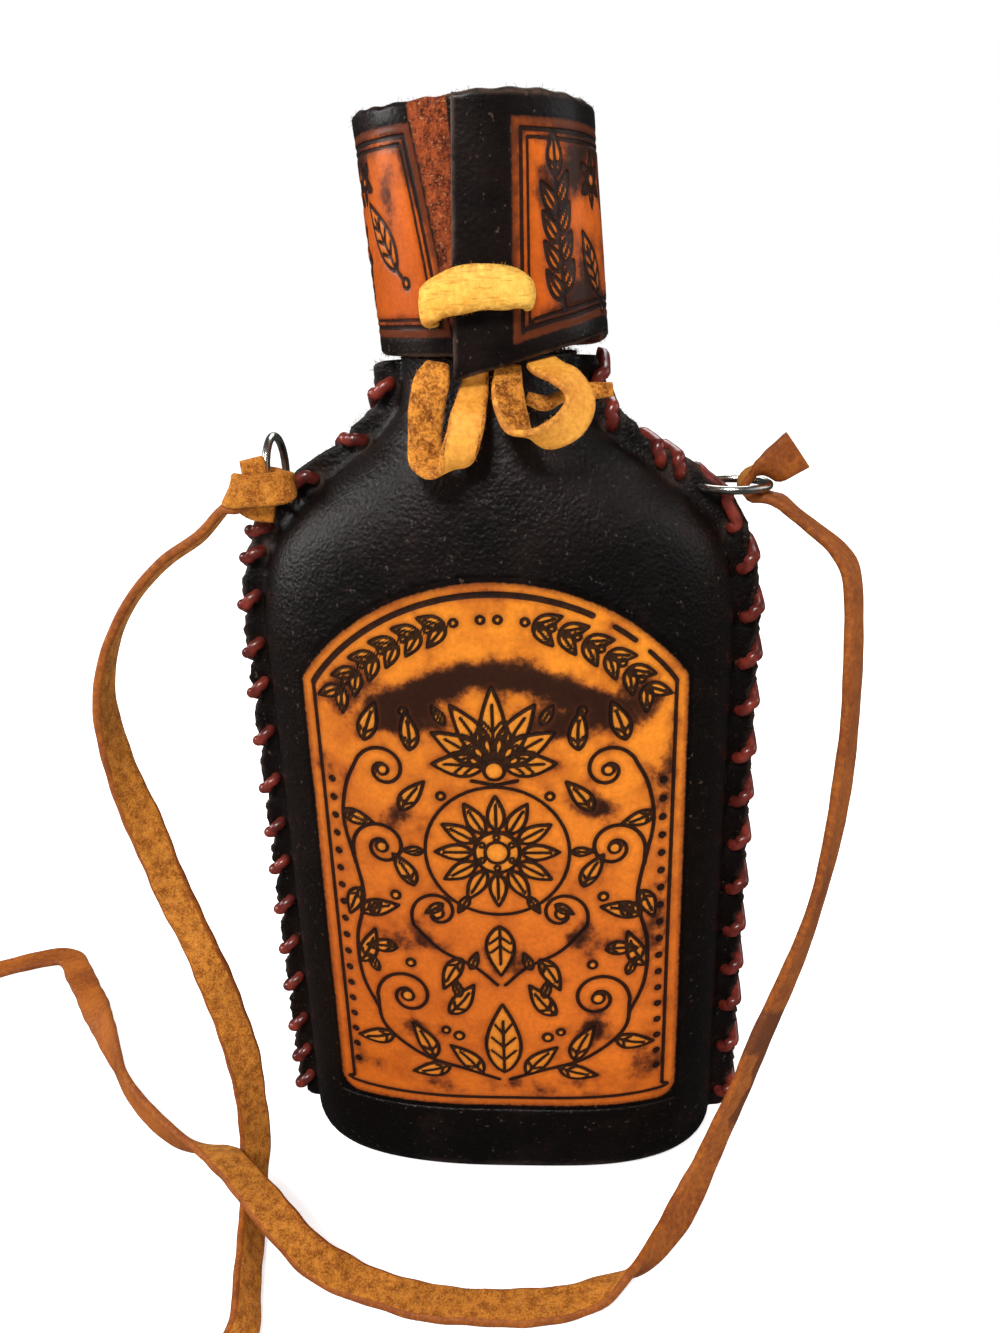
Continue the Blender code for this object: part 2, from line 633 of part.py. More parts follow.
def build_thong(parts):
    """The tie across the collar and the bow that hangs below it."""
    tan = material("tan_thong", (0.62, 0.30, 0.09), 0.6)
    outer = COLLAR_RADIUS + FIT + THONG_THICKNESS / 2
    inner = COLLAR_RADIUS - 2 * COLLAR_THICKNESS - 0.0014
    rows = []

    def add(theta, radius, rise):
        spot = thong_spot(theta, radius, rise)
        rows.append((*spot, THONG_WIDTH, 0.0, 0.0, 1.0))

    full = THONG_ANGLE
    bend = THONG_THICKNESS / COLLAR_RADIUS
    for side, drop in ((-1, THONG_DROP), (1, 0.0)):
        places = [(full, inner, -drop), (full, COLLAR_RADIUS - 0.0022, -drop), (full, COLLAR_RADIUS - 0.0004, -drop),
                  (full - bend * 0.55, outer + 0.0003, 0.0003 - drop * 0.9),
                  (full * 0.62, outer + 0.0006, 0.0010 - drop * 0.5)]
        for theta, radius, rise in (places if side < 0 else reversed(places)):
            add(side * theta, radius, rise)
        if side < 0:
            add(0.0, outer + 0.0009, 0.0013)
    band_object("collar_thong", rows, 0.0016, THONG_THICKNESS, parts, tan)

    w = BOW_WIDTH
    front = -COLLAR_RADIUS
    left = [
        (-0.0076, front + 0.0045, 0.1783, w * 0.7, 1.0, -0.3, 0.0), (-0.0086, front + 0.0030, 0.1755, w, 1.0, 0.0, 0.0),
        (-0.0094, -0.0201, 0.1722, w, 1.0, 0.05, 0.0), (-0.0099, -0.0207, 0.1685, w, 1.0, 0.1, 0.0),
        (-0.0101, -0.0214, 0.1648, w, 1.0, 0.1, 0.0), (-0.0098, -0.0224, 0.1624, w, 0.95, 0.3, 0.1),
        (-0.0080, -0.0243, 0.1610, w, 0.65, 0.7, 0.2), (-0.0056, -0.0258, 0.1616, w, 0.65, 0.7, 0.2),
        (-0.0038, -0.0262, 0.1640, w, 0.9, 0.3, 0.1), (-0.0026, -0.0259, 0.1672, w, 1.0, 0.0, 0.0),
        (-0.0020, -0.0244, 0.1702, w, 1.0, 0.0, 0.0), (-0.0016, -0.0206, 0.1726, w * 0.9, 1.0, 0.0, 0.0),
        (-0.0012, -0.0184, 0.1746, w * 0.75, 1.0, 0.0, 0.0), (-0.0010, front + 0.0040, 0.1762, w * 0.7, 1.0, 0.0, 0.0),
        (-0.0010, front + 0.0041, 0.1774, w * 0.7, 1.0, 0.0, 0.0),
    ]
    right = [
        (0.0103, front + 0.0042, 0.1780, w * 0.9, 1.0, 0.3, 0.1), (0.0118, front + 0.0018, 0.1770, w, 0.9, 0.4, 0.1),
        (0.0142, -0.0222, 0.1760, w, 0.8, 0.5, 0.1), (0.0164, -0.0238, 0.1738, w, 0.8, 0.5, -0.2),
        (0.0168, -0.0248, 0.1710, w, 0.8, 0.5, -0.3), (0.0146, -0.0258, 0.1680, w, 0.75, 0.5, -0.4),
        (0.0106, -0.0260, 0.1664, w, 0.7, 0.55, -0.45), (0.0068, -0.0250, 0.1676, w, 0.8, 0.5, -0.3),
        (0.0052, -0.0234, 0.1706, w, 0.85, 0.5, -0.1), (0.0046, -0.0212, 0.1738, w * 0.95, 0.9, 0.4, 0.0),
        (0.0046, front + 0.0032, 0.1760, w * 0.8, 1.0, 0.3, 0.0), (0.0046, front + 0.0042, 0.1776, w * 0.7, 1.0, 0.2, 0.0),
    ]
    band_object("bow_left_loop", left, 0.0022, THONG_THICKNESS * 0.9, parts, tan)
    band_object("bow_right_loop", right, 0.0022, THONG_THICKNESS * 0.9, parts, tan)
    knot = [
        (0.0077, -0.0180, 0.1722, 0.0030, 0.3, 1.0, 0.3), (0.0108, -0.0176, 0.1712, 0.0036, 0.3, 1.0, 0.5),
        (0.0138, -0.0166, 0.1722, 0.0034, 0.2, 1.0, 0.3), (0.0178, -0.0155, 0.1728, 0.0030, 0.1, 0.6, 0.8),
        (0.0226, -0.0145, 0.1730, 0.0026, 0.1, 0.3, 1.0),
    ]
    band_object("bow_knot", knot, 0.0022, THONG_THICKNESS, parts, tan)


def build_rings(parts, edge):
    nickel = material("nickel_wire", (0.72, 0.70, 0.66), 0.2, metallic=1.0)
    for name, side in (("left_ring", -1), ("right_ring", 1)):
        hole = Vector(ring_hole(edge, side))
        out = Vector((0, 0, 1)) if side < 0 else Vector((1, 0, 0))
        centre = hole + out * RING_RADIUS
        points = []
        for i in range(28):
            turn = 2 * math.pi * i / 28
            points.append(centre + RING_RADIUS * (math.cos(turn) * out + math.sin(turn) * Vector((0, 1, 0))))
        bm = bmesh.new()
        sweep_tube(bm, points, RING_WIRE, 8, loop=True)
        finish(name, bm, parts, nickel, origin=hole)


def build_strap(parts, edge):
    suede = material("strap_leather", (0.45, 0.17, 0.05), 0.7)
    left, right = Vector(ring_hole(edge, -1)), Vector(ring_hole(edge, 1))
    t = STRAP_THICKNESS / 2
    w = STRAP_WIDTH

    x, y, z = left
    rows = [
        (x - 0.0036, -0.0035, z + 0.0092, 0.0024, 0, 0, 1), (x - 0.0009, -0.0032, z + 0.0092, 0.0022, 0, 0, 1),
        (x + 0.0012, -0.0036, z + 0.0092, 0.0022, 0, 0, 1), (x + 0.0030, -0.0063, z + 0.0090, 0.0026, 0, 0, 1),
        (x + 0.0050, -0.0082, z + 0.0070, 0.0048, 0, 0, 1), (x + 0.0042, -0.0095, z + 0.0052, w * 0.78, 0, 0, 1),
        (x + 0.0006, -0.0098, z + 0.0048, w * 0.8, 0, 0, 1), (x - 0.0034, -0.0097, z + 0.0047, w * 0.8, 0, 0, 1),
        (x - 0.0060, -0.0092, z + 0.0046, w * 0.8, 0, 0, 1), (x - 0.0070, -0.0079, z + 0.0042, w * 0.8, 0, 0, 1),
        (x - 0.0062, -0.0067, z + 0.0032, w * 0.72, 0, 0, 1), (x - 0.0034, -0.0067, z + 0.0006, w * 0.6, 0, 0, 1),
        (x + 0.0008, -0.0068, z - 0.0004, w * 0.5, 0, 0, 1),
    ]
    band_object("left_strap_knot", rows, 0.0016, STRAP_THICKNESS, parts, suede, origin=left)

    x, y, z = right
    far = x + 2 * RING_RADIUS
    gap = RING_WIRE + t + FIT + 0.0001
    rows = [
        (far + 0.0022, -0.0024, z - 0.0031, w, 0.1, 1, 0.1), (far + 0.0004, -0.0018, z - gap - 0.0003, w, 0, 1, 0.0),
        (far - 0.0018, -0.0010, z - gap, w * 0.95, 0, 1, 0), (far - 0.0036, -0.0005, z - gap * 0.95, w * 0.88, 0, 1, 0),
        (far - 0.0049, 0.0, z, w * 0.82, 0, 1, 0), (far - 0.0036, 0.0, z + gap * 0.95, w * 0.88, 0, 1, 0),
        (far - 0.0014, -0.0006, z + gap + 0.0006, w * 0.95, 0.2, 1, -0.2),
        (far + 0.0006, -0.0014, z + gap + 0.0014, w * 0.95, 0.5, 0.6, -0.5),
        (far + 0.0024, -0.0018, z + gap + 0.0027, w, 0.6, 0.25, -0.75), (far + 0.0044, -0.0020, z + gap + 0.0044, w, 0.62, 0.1, -0.78),
    ]
    band_object("right_strap_knot", rows, 0.0016, STRAP_THICKNESS, parts, suede, origin=right)

    flat = t + 0.0001
    over = w + t + 0.0013
    edge_up = w / 2 + 0.0003
    start = (far + 0.0028, -0.0026, right.z - 0.0037)
    finish_at = (left.x - 0.0094, -0.0068, left.z + 0.0004)
    route = [
        (*start, w, 0.1, 1.0, 0.1), (0.0578, -0.0033, 0.1485, w, 0.25, 0.95, 0.0),
        (0.0614, -0.0045, 0.1457, w, 0.3, 0.93, 0.1), (0.0661, -0.0065, 0.1417, w, 0.4, 0.9, 0.1),
        (0.0685, -0.0085, 0.1367, w, 0.5, 0.86, 0.0), (0.0690, -0.0115, 0.1250, w, 0.54, 0.84, 0.0),
        (0.0691, -0.0135, 0.1097, w, 0.54, 0.84, 0.0), (0.0685, -0.0150, 0.0975, w, 0.59, 0.8, 0.0),
        (0.0674, -0.0165, 0.0869, w, 0.58, 0.8, 0.0), (0.0654, -0.0180, 0.0752, w, 0.52, 0.85, 0.0),
        (0.0625, -0.0195, 0.0640, w, 0.58, 0.8, -0.1), (0.0586, -0.0210, 0.0523, w, 0.68, 0.7, -0.15),
        (0.0545, -0.0230, 0.0419, w, 0.7, 0.68, -0.2), (0.0505, -0.0250, 0.0302, w, 0.7, 0.66, -0.25),
        (0.0460, -0.0275, 0.0197, w, 0.7, 0.6, -0.3), (0.0415, -0.0310, 0.0108, w, 0.68, 0.4, -0.45),
        (0.0365, -0.0372, 0.0062, w, 0.55, 0.15, -0.8), (0.0307, -0.0442, edge_up + 0.0003, w, 0.1, 0.1, -1.0),
        (0.0255, -0.0486, 0.0038, w, -0.2, 0.55, -0.8), (0.0200, -0.0514, 0.0021, w, -0.2, 0.95, -0.25),
        (0.0121, -0.0537, flat + 0.0002, w, -0.15, 1.0, -0.03), (0.0003, -0.0548, flat, w, -0.05, 1.0, 0.0),
        (-0.0137, -0.0543, flat, w, 0.1, 1.0, 0.0), (-0.0253, -0.0517, 0.0012, w, 0.3, 0.95, 0.05),
        (-0.0316, -0.0505, 0.0028, w, 0.35, 0.9, 0.2), (-0.0386, -0.0490, 0.0062, w, 0.45, 0.8, 0.3),
        (-0.0461, -0.0443, over, w, 0.55, 0.75, 0.2), (-0.0514, -0.0394, over + 0.0004, w, 0.6, 0.75, 0.0),
        (-0.0550, -0.0360, over + 0.0004, w, 0.6, 0.75, 0.0), (-0.0610, -0.0305, 0.0103, w, 0.58, 0.7, -0.05),
        (-0.0670, -0.0251, 0.0080, w, 0.5, 0.6, -0.4), (-0.0778, -0.0185, edge_up + 0.0005, w, 0.15, 0.2, -0.95),
        (-0.0881, -0.0110, edge_up, w, 0.0, 0.0, -1.0), (-0.0981, -0.0014, edge_up, w, 0.0, 0.0, -1.0),
        (-0.1046, 0.0075, edge_up, w, -0.15, -0.1, -0.95), (-0.1134, 0.0196, 0.0036, w, -0.5, -0.35, -0.7),
        (-0.1242, 0.0342, 0.0018, w, -0.8, -0.6, -0.2), (-0.1335, 0.0461, flat, w, -0.75, -0.65, 0.0),
        (-0.1410, 0.0545, flat, w, -0.5, -0.85, 0.0), (-0.1500, 0.0535, flat, w, 0.2, -1.0, 0.0),
        (-0.1670, 0.0440, flat, w, 0.45, -0.9, 0.0),
        (-0.1870, 0.0290, flat, w, 0.7, -0.7, 0.0), (-0.1980, 0.0060, flat, w, 1.0, 0.0, 0.0),
        (-0.1950, -0.0330, flat + 0.0004, w, 0.95, 0.3, -0.1), (-0.1760, -0.0630, 0.0040, w, 0.45, 0.5, -0.8),
        (-0.1570, -0.0780, edge_up, w, 0.0, -0.1, -1.0), (-0.1360, -0.0890, 0.0032, w, -0.3, -0.9, -0.5),
        (-0.1020, -0.0960, flat + 0.0003, w, 0.0, -1.0, 0.0), (-0.0680, -0.0900, flat + 0.0005, w, 0.6, -0.8, -0.05),
        (-0.0570, -0.0828, 0.0016, w, 0.75, -0.6, -0.15), (-0.0508, -0.0735, 0.0026, w, 0.85, -0.25, -0.4), (-0.0485, -0.0636, 0.0038, w, 0.55, 0.0, -0.75),
        (-0.0509, -0.0532, 0.0038, w, 0.5, 0.1, -0.8), (-0.0538, -0.0405, 0.0037, w, 0.5, 0.1, -0.78),
        (-0.0558, -0.0315, 0.0037, w, 0.5, 0.1, -0.78), (-0.0573, -0.0262, 0.0046, w, 0.5, 0.3, -0.72),
        (-0.0580, -0.0224, 0.0080, w, 0.58, 0.55, -0.4), (-0.0584, -0.0205, 0.0135, w, 0.6, 0.75, 0.0),
        (-0.0592, -0.0190, 0.0273, w, 0.7, 0.7, 0.1), (-0.0619, -0.0180, 0.0415, w, 0.86, 0.4, 0.2),
        (-0.0660, -0.0170, 0.0566, w, 0.95, 0.15, 0.25), (-0.0712, -0.0155, 0.0708, w, 0.94, 0.2, 0.25),
        (-0.0753, -0.0140, 0.0846, w, 0.75, 0.6, 0.2), (-0.0787, -0.0130, 0.0959, w, 0.48, 0.85, 0.1),
        (-0.0806, -0.0120, 0.1058, w, 0.2, 0.97, 0.0), (-0.0812, -0.0110, 0.1132, w, 0.08, 1.0, 0.0),
        (-0.0800, -0.0100, 0.1205, w, 0.0, 1.0, 0.05), (-0.0772, -0.0090, 0.1277, w, -0.08, 1.0, 0.05),
        (-0.0725, -0.0080, 0.1348, w, -0.12, 1.0, 0.05), (-0.0655, -0.0075, 0.1414, w, -0.15, 1.0, 0.1),
        (-0.0579, -0.0070, 0.1462, w * 0.95, -0.2, 0.9, 0.1), (*finish_at, w * 0.85, -0.2, 0.85, 0.2),
    ]
    band_object("shoulder_strap", route, 0.0105, STRAP_THICKNESS, parts, suede)


def build():
    clear_scene()
    scene = bpy.context.scene
    parts = bpy.data.collections.new(NAME)
    cutters = bpy.data.collections.new("cutters")
    scene.collection.children.link(parts)
    scene.collection.children.link(cutters)
    material("cutter", (0.8, 0.1, 0.1), 0.5)
    edge = EdgeLine()
    build_glass(parts, cutters)
    build_cap(parts)
    build_cover(parts, cutters, edge)
    build_lacing(parts, edge)
    build_collar(parts, cutters)
    build_thong(parts)
    build_rings(parts, edge)
    build_strap(parts, edge)
    for tool in cutters.objects:
        tool.hide_render = True
        tool.display_type = "WIRE"


build()
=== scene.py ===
"""Dressed model of a flat glass flask in a laced leather cover, with collar, rings and shoulder strap."""
import json
import math

import bmesh
import bpy
import numpy as np
from mathutils import Matrix, Vector

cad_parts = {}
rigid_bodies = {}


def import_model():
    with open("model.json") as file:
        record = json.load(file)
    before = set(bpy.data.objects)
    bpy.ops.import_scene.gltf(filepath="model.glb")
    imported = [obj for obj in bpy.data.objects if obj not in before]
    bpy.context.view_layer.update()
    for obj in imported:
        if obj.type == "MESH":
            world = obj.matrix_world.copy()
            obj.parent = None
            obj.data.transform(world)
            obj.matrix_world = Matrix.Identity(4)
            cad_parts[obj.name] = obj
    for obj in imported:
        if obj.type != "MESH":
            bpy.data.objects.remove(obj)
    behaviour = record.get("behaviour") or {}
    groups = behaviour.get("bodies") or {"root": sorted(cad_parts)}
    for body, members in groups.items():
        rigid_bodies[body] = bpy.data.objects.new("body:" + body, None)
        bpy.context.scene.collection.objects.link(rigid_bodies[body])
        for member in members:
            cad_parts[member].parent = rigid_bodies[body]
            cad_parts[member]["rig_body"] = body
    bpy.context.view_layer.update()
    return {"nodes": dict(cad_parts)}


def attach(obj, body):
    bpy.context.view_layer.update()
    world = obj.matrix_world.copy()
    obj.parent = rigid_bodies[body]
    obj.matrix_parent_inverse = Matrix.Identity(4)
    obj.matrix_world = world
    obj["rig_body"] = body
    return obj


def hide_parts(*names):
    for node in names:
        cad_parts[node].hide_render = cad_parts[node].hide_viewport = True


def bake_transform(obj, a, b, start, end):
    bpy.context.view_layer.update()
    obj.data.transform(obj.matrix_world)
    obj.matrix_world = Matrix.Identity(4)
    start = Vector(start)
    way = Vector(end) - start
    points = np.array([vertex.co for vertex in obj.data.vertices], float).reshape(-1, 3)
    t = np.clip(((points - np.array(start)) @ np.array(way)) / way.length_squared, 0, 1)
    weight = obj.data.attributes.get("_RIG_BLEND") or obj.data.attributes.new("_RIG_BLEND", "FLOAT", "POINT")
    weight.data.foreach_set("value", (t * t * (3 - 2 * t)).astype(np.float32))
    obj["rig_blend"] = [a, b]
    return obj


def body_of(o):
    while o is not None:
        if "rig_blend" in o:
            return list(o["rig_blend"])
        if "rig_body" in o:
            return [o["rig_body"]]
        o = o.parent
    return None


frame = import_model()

# Sizes that the dressed pieces share with the solids, in metres and radians
FIT = 0.0003
LEATHER = 0.0023
GLASS_WIDTH = 0.0898
GLASS_DEPTH = 0.0378
GLASS_WALL = 0.003
GLASS_FOOT = 0.0045
SIDE_CORNER = 0.0045
FRONT_CORNER = 0.0018
SHOULDER_START = 0.128
NECK_START = 0.176
GLASS_TOP = 0.204
NECK_RADIUS = 0.0138
FINISH_RADIUS = 0.0122
FINISH_START = 0.1925
THREAD_HEIGHT = 0.0008
THREAD_PITCH = 0.003
THREAD_TURNS = 1.5
BORE_RADIUS = 0.0092
BODY_SQUARENESS = 2.7
WIDTH_SHARE = ((0.0, 1.0), (0.148, 0.973), (0.2375, 0.935), (0.3375, 0.858), (0.435, 0.731),
               (0.56, 0.498), (0.744, 0.159), (0.875, 0.029), (1.0, 0.0))
DEPTH_SHARE = ((0.0, 1.0), (0.35, 1.0), (0.46, 0.95), (0.62, 0.77), (0.77, 0.42), (0.89, 0.12), (1.0, 0.0))
COVER_TOP = 0.179
FLANGE_WIDTH = 0.0055
FLANGE_TOP = 0.1783
FLANGE_BOTTOM = 0.003
FLANGE_CORNER = 0.0055
FLANGE_HALF = LEATHER + FIT / 2
STITCH_DEPTH = 0.0032
STITCH_SLANT = 0.0036
LACE_RADIUS = 0.0012
LACE_LEAD = 0.0018
LACE_SINK = 0.0010
STITCHES = {
    -1: (0.1728, 0.1648, 0.1583, 0.1495, 0.1415, 0.1315, 0.1210, 0.1120, 0.1010,
         0.0895, 0.0785, 0.0690, 0.0586, 0.0477, 0.0373, 0.0256, 0.0165, 0.0085),
    1: (0.1748, 0.1690, 0.1620, 0.1568, 0.1485, 0.1395, 0.1290, 0.1190, 0.1087,
        0.0980, 0.0877, 0.0773, 0.0662, 0.0550, 0.0449, 0.0349, 0.0232, 0.0096),
}
RING_RADIUS = 0.0068
RING_WIRE = 0.0008
RING_EDGE_HEIGHT = {-1: 0.1530, 1: 0.1553}
RING_LACE_LEAD = 0.0042
RING_REST = {-1: math.radians(90), 1: 0.0}
RING_SWING = math.radians(35)
RING_DEPTH = 0.0026
COLLAR_RADIUS = 0.0220
COLLAR_THICKNESS = 0.0018
COLLAR_BOTTOM = 0.1794
COLLAR_DIP = 0.0040
COLLAR_TOP = 0.2190
COLLAR_LEAN = 0.07
COLLAR_SHIFT = 0.0005
COLLAR_SKEW = math.radians(11)
UNDER_END = math.radians(18)
OVER_END = math.radians(13)
COLLAR_TURN = UNDER_END + OVER_END + 2 * math.pi
THONG_WIDTH = 0.0072
THONG_THICKNESS = 0.0015
THONG_ANGLE = math.radians(25)
THONG_HEIGHT = 0.1890
THONG_DROP = 0.0018
BOW_WIDTH = 0.0062
STRAP_WIDTH = 0.0076
STRAP_THICKNESS = 0.0018
# From the first place to the second, an end of the strap passes from its ring's motion to the flask's
STRAP_BENDS = {
    "right_ring_body": ((0.0575, -0.0030, 0.1470), (0.0515, -0.0030, 0.1270)),
    "left_ring_body": ((-0.0526, -0.0068, 0.1513), (-0.0636, -0.0074, 0.1429)),
}

# Values of the dressing alone: steps along a line, metres along the strap, a fibre's radius for a length of 1
EDGE_STEPS = 900
LINE_STEPS = 14
STRAP_SPACING = 0.0016
STAIN_SPOT = 0.117
FIBRE_SHARE = 0.035

# The tooled panel on the front, in millimetres. Its mesh and the skin's opening both pass its dyed edge
PANEL_HALF = 37.5
PANEL_LOW = 20.0
ARCH_RADIUS = 45.2
ARCH_MIDDLE = 94.8
PANEL_TUCK = 2.6
PANEL_CLEAR = 0.9

# The collar's tan field: its distance from the band's foot and from its top, in millimetres
FIELD_LOW = 3.2
FIELD_TOP = 3.6


def tone(red, green, blue):
    """A colour as it looks on a screen, given as the linear values that a shader takes."""
    shares = (red / 255, green / 255, blue / 255)
    return tuple(v / 12.92 if v <= 0.04045 else ((v + 0.055) / 1.055) ** 2.4 for v in shares)


def bell(value, width, power=2):
    """1 where the value is 0, and falling off smoothly over a width."""
    return np.exp(-((value / width) ** power))


# Shader expressions

class Wire:
    """A shader node's output that takes part in expressions."""

    def __init__(self, paint, socket):
        self.paint = paint
        self.socket = socket

    def __add__(self, other):
        return self.paint.maths("ADD", self, other)

    def __sub__(self, other):
        return self.paint.maths("SUBTRACT", self, other)

    def __mul__(self, other):
        return self.paint.maths("MULTIPLY", self, other)

    def __radd__(self, other):
        return self.paint.maths("ADD", other, self)

    def __rsub__(self, other):
        return self.paint.maths("SUBTRACT", other, self)

    def __rmul__(self, other):
        return self.paint.maths("MULTIPLY", other, self)

    def between(self, low, high, start=0.0, end=1.0):
        """Rises smoothly from start to end as the value goes from low to high."""
        return self.paint.put(
            "ShaderNodeMapRange", {"interpolation_type": "SMOOTHSTEP"},
            {"Value": self, "From Min": low, "From Max": high, "To Min": start, "To Max": end},
        )


class Paint:
    """A material under construction."""

    def __init__(self, name):
        self.material = bpy.data.materials.new(name)
        self.material.use_nodes = True
        self.tree = self.material.node_tree
        self.shader = self.tree.nodes["Principled BSDF"]
        self.place = self.put("ShaderNodeTexCoord", output="Object")

    def feed(self, socket, value):
        if isinstance(value, Wire):
            self.tree.links.new(value.socket, socket)
        elif isinstance(value, tuple) and len(value) == 3 and socket.type == "RGBA":
            socket.default_value = (*value, 1.0)
        else:
            socket.default_value = value

    def put(self, kind, settings=None, inputs=None, output=0):
        node = self.tree.nodes.new(kind)
        for name, value in (settings or {}).items():
            setattr(node, name, value)
        for name, value in (inputs or {}).items():
            self.feed(node.inputs[name], value)
        return Wire(self, node.outputs[output])

    def maths(self, operation, *values):
        return self.put("ShaderNodeMath", {"operation": operation}, dict(enumerate(values)))

    def mix(self, share, first, second):
        """Goes from the first colour to the second as the share goes from 0 to 1."""
        return self.put("ShaderNodeMix", {"data_type": "RGBA"}, {0: share, 6: first, 7: second}, output=2)

    def tint(self, colour, factor):
        """A colour made darker or lighter by a factor that changes over the surface."""
        return self.put("ShaderNodeVectorMath", {"operation": "SCALE"}, {0: colour, "Scale": factor})

    def noise(self, size, detail=3.0, rough=0.5, place=None, warp=0.0):
        """Cloudy variation from 0 to 1 with features of a size in metres."""
        inputs = {"Vector": place or self.place, "Scale": 1.0 / size, "Detail": detail, "Roughness": rough}
        return self.put("ShaderNodeTexNoise", None, {**inputs, "Distortion": warp})

    def cells(self, size, feature="F1"):
        """Small cells, each of a size in metres."""
        inputs = {"Vector": self.place, "Scale": 1.0 / size}
        return self.put("ShaderNodeTexVoronoi", {"feature": feature}, inputs)

    def stretched(self, x, y, z):
        return self.put("ShaderNodeMapping", None, {"Vector": self.place, "Scale": (x, y, z)})

    def attribute(self, name):
        return self.put("ShaderNodeAttribute", {"attribute_name": name}, output="Fac")

    def axis(self, name):
        return self.put("ShaderNodeSeparateXYZ", None, {0: self.place}, output=name)

    def bump(self, height, depth):
        return self.put("ShaderNodeBump", None, {"Height": height, "Distance": depth, "Strength": 1.0})

    def finish(self, **sockets):
        """The material, with values or wires in the shader's sockets."""
        for name, value in sockets.items():
            self.feed(self.shader.inputs[name.replace("_", " ")], value)
        return self.material


def dark_hide(paint):
    """Colour, roughness and height of the near-black brown leather."""
    broad = paint.noise(0.030, 4, 0.6, warp=0.4)
    mottle = paint.noise(0.006, 6, 0.65)
    grain = paint.cells(0.00075, "SMOOTH_F1")
    fine = paint.noise(0.00035, 3, 0.6)
    wear = paint.attribute("wear")
    high = paint.axis("Z").between(0.125, 0.165)
    brown = (broad * 0.7 + mottle * 0.5 + high * 0.16).between(0.55, 1.0)
    colour = paint.mix(brown, tone(7, 4, 3), tone(26, 14, 10))
    red = paint.noise(0.011, 5, 0.7).between(0.56, 0.74) * 0.5
    colour = paint.mix(red, colour, tone(40, 17, 10))
    colour = paint.mix(wear.between(0.15, 1.0) * mottle.between(0.35, 0.62), colour, tone(86, 66, 54))
    speck = paint.noise(0.0010, 2, 0.5).between(0.66, 0.75) * 0.55
    colour = paint.mix(speck, colour, tone(92, 72, 60))
    roughness = 0.30 + mottle * 0.14 + wear * 0.3 + fine * 0.08
    height = grain * 0.55 + fine * 0.35 + mottle * 0.7
    return colour, roughness, height


def suede(paint, light, deep, size=0.00042):
    """Colour, roughness and height of a rough flesh side, with painted glints on its nap."""
    nap = paint.noise(size, 5, 0.75)
    clump = paint.noise(size * 4.5, 4, 0.6)
    broad = paint.noise(0.02, 2)
    spark = paint.noise(size * 0.8, 2, 0.6)
    colour = paint.mix((nap * 0.7 + clump * 0.5).between(0.47, 0.72), deep, light)
    # painted glints: pale specks where light would catch the nap
    colour = paint.mix(spark.between(0.60, 0.72) * 0.35, colour, tone(232, 190, 130))
    colour = paint.tint(colour, broad.between(0.3, 0.7, 0.88, 1.08))
    return colour, 0.86 + nap * 0.1, nap * 0.8 + clump


def hide_back(paint):
    return suede(paint, tone(120, 78, 48), tone(66, 40, 26))


def leather_material(name, parts, depth, **constants):
    paint = Paint(name)
    colour, roughness, height = parts(paint)
    return paint.finish(Base_Color=colour, Roughness=roughness, Normal=paint.bump(height, depth), **constants)


def tooled_hide(name, top, low, glow, side_shade):
    """Dyed tan leather with dark tool lines and burnished hollows inside a dark surround. The tan has painted
    shade lower down and towards one side, and a painted highlight on its raised shapes.
    """
    paint = Paint(name)
    labels = ("edge", "cut", "burnish", "inside", "raw")
    edge, cut, burnish, inside, raw = (paint.attribute(label) for label in labels)
    dark, dark_roughness, dark_height = dark_hide(paint)
    grain = paint.noise(0.0009, 5, 0.65)
    cloud = paint.noise(0.009, 4, 0.6)
    fine = paint.noise(0.00025, 3, 0.6)
    shade = paint.attribute("shade")
    tan = paint.mix(shade, top, low)
    tan = paint.mix(cloud.between(0.35, 0.75) * 0.6, tan, tone(164, 72, 10))
    tan = paint.mix(paint.axis("X").between(side_shade, -side_shade) * 0.45, tan, tone(146, 62, 10))
    wash = paint.noise(0.0045, 5, 0.7)
    deep = (burnish + (cloud - 0.5) * 0.7 + (wash - 0.5) * 1.0 + (grain - 0.5) * 0.6).between(0.08, 1.10)
    tan = paint.mix(deep.between(0.0, 0.7) * 0.7, tan, tone(128, 54, 10))
    tan = paint.mix(deep.between(0.3, 1.0) * 0.96, tan, tone(36, 15, 6))
    # painted highlight: raised shapes are lightened towards the glow colour, less where they are burnished
    tan = paint.mix(inside * (1 - deep * 0.6) * 0.36, tan, glow)
    tan = paint.tint(tan, grain.between(0.25, 0.75, 0.84, 1.12))
    rim = (edge + (cloud - 0.5) * 1.6).between(1.8, 0.2)
    tan = paint.mix(rim * 0.35, tan, tone(168, 74, 16))
    tan = paint.mix((edge + (grain - 0.5) * 0.8).between(1.2, -0.1) * 0.6, tan, tone(60, 24, 8))
    line = (cut + (grain - 0.5) * 0.16).between(0.44, 0.30)
    halo = (cut + (cloud - 0.5) * 0.8).between(1.5, 0.2)
    tan = paint.mix(halo * 0.34, tan, tone(88, 36, 14))
    tan = paint.mix(line * (0.86 + grain * 0.2), tan, tone(28, 15, 11))
    dyed = (edge + (grain - 0.5) * 0.7 + (cloud - 0.5) * 0.4).between(-0.25, 0.22)
    colour = paint.mix(dyed, dark, tan)
    flesh, flesh_roughness, flesh_height = suede(paint, tone(166, 78, 38), tone(72, 26, 14), 0.0006)
    colour = paint.mix(raw, colour, flesh)
    roughness = dark_roughness * (1 - dyed) + (0.30 + grain * 0.20 + deep * 0.08 - inside * 0.04) * dyed
    roughness = roughness * (1 - raw) + flesh_roughness * raw
    height = dark_height * (1 - dyed * 0.6) + (grain * 0.8 + fine * 0.3 - line * 2.2) * dyed
    height = height * (1 - raw) + flesh_height * raw * 4.0
    return paint.finish(
        Base_Color=colour, Roughness=roughness, Normal=paint.bump(height, 0.00013), Specular_IOR_Level=0.15,
        Coat_Weight=0.12, Coat_Roughness=0.2,
    )


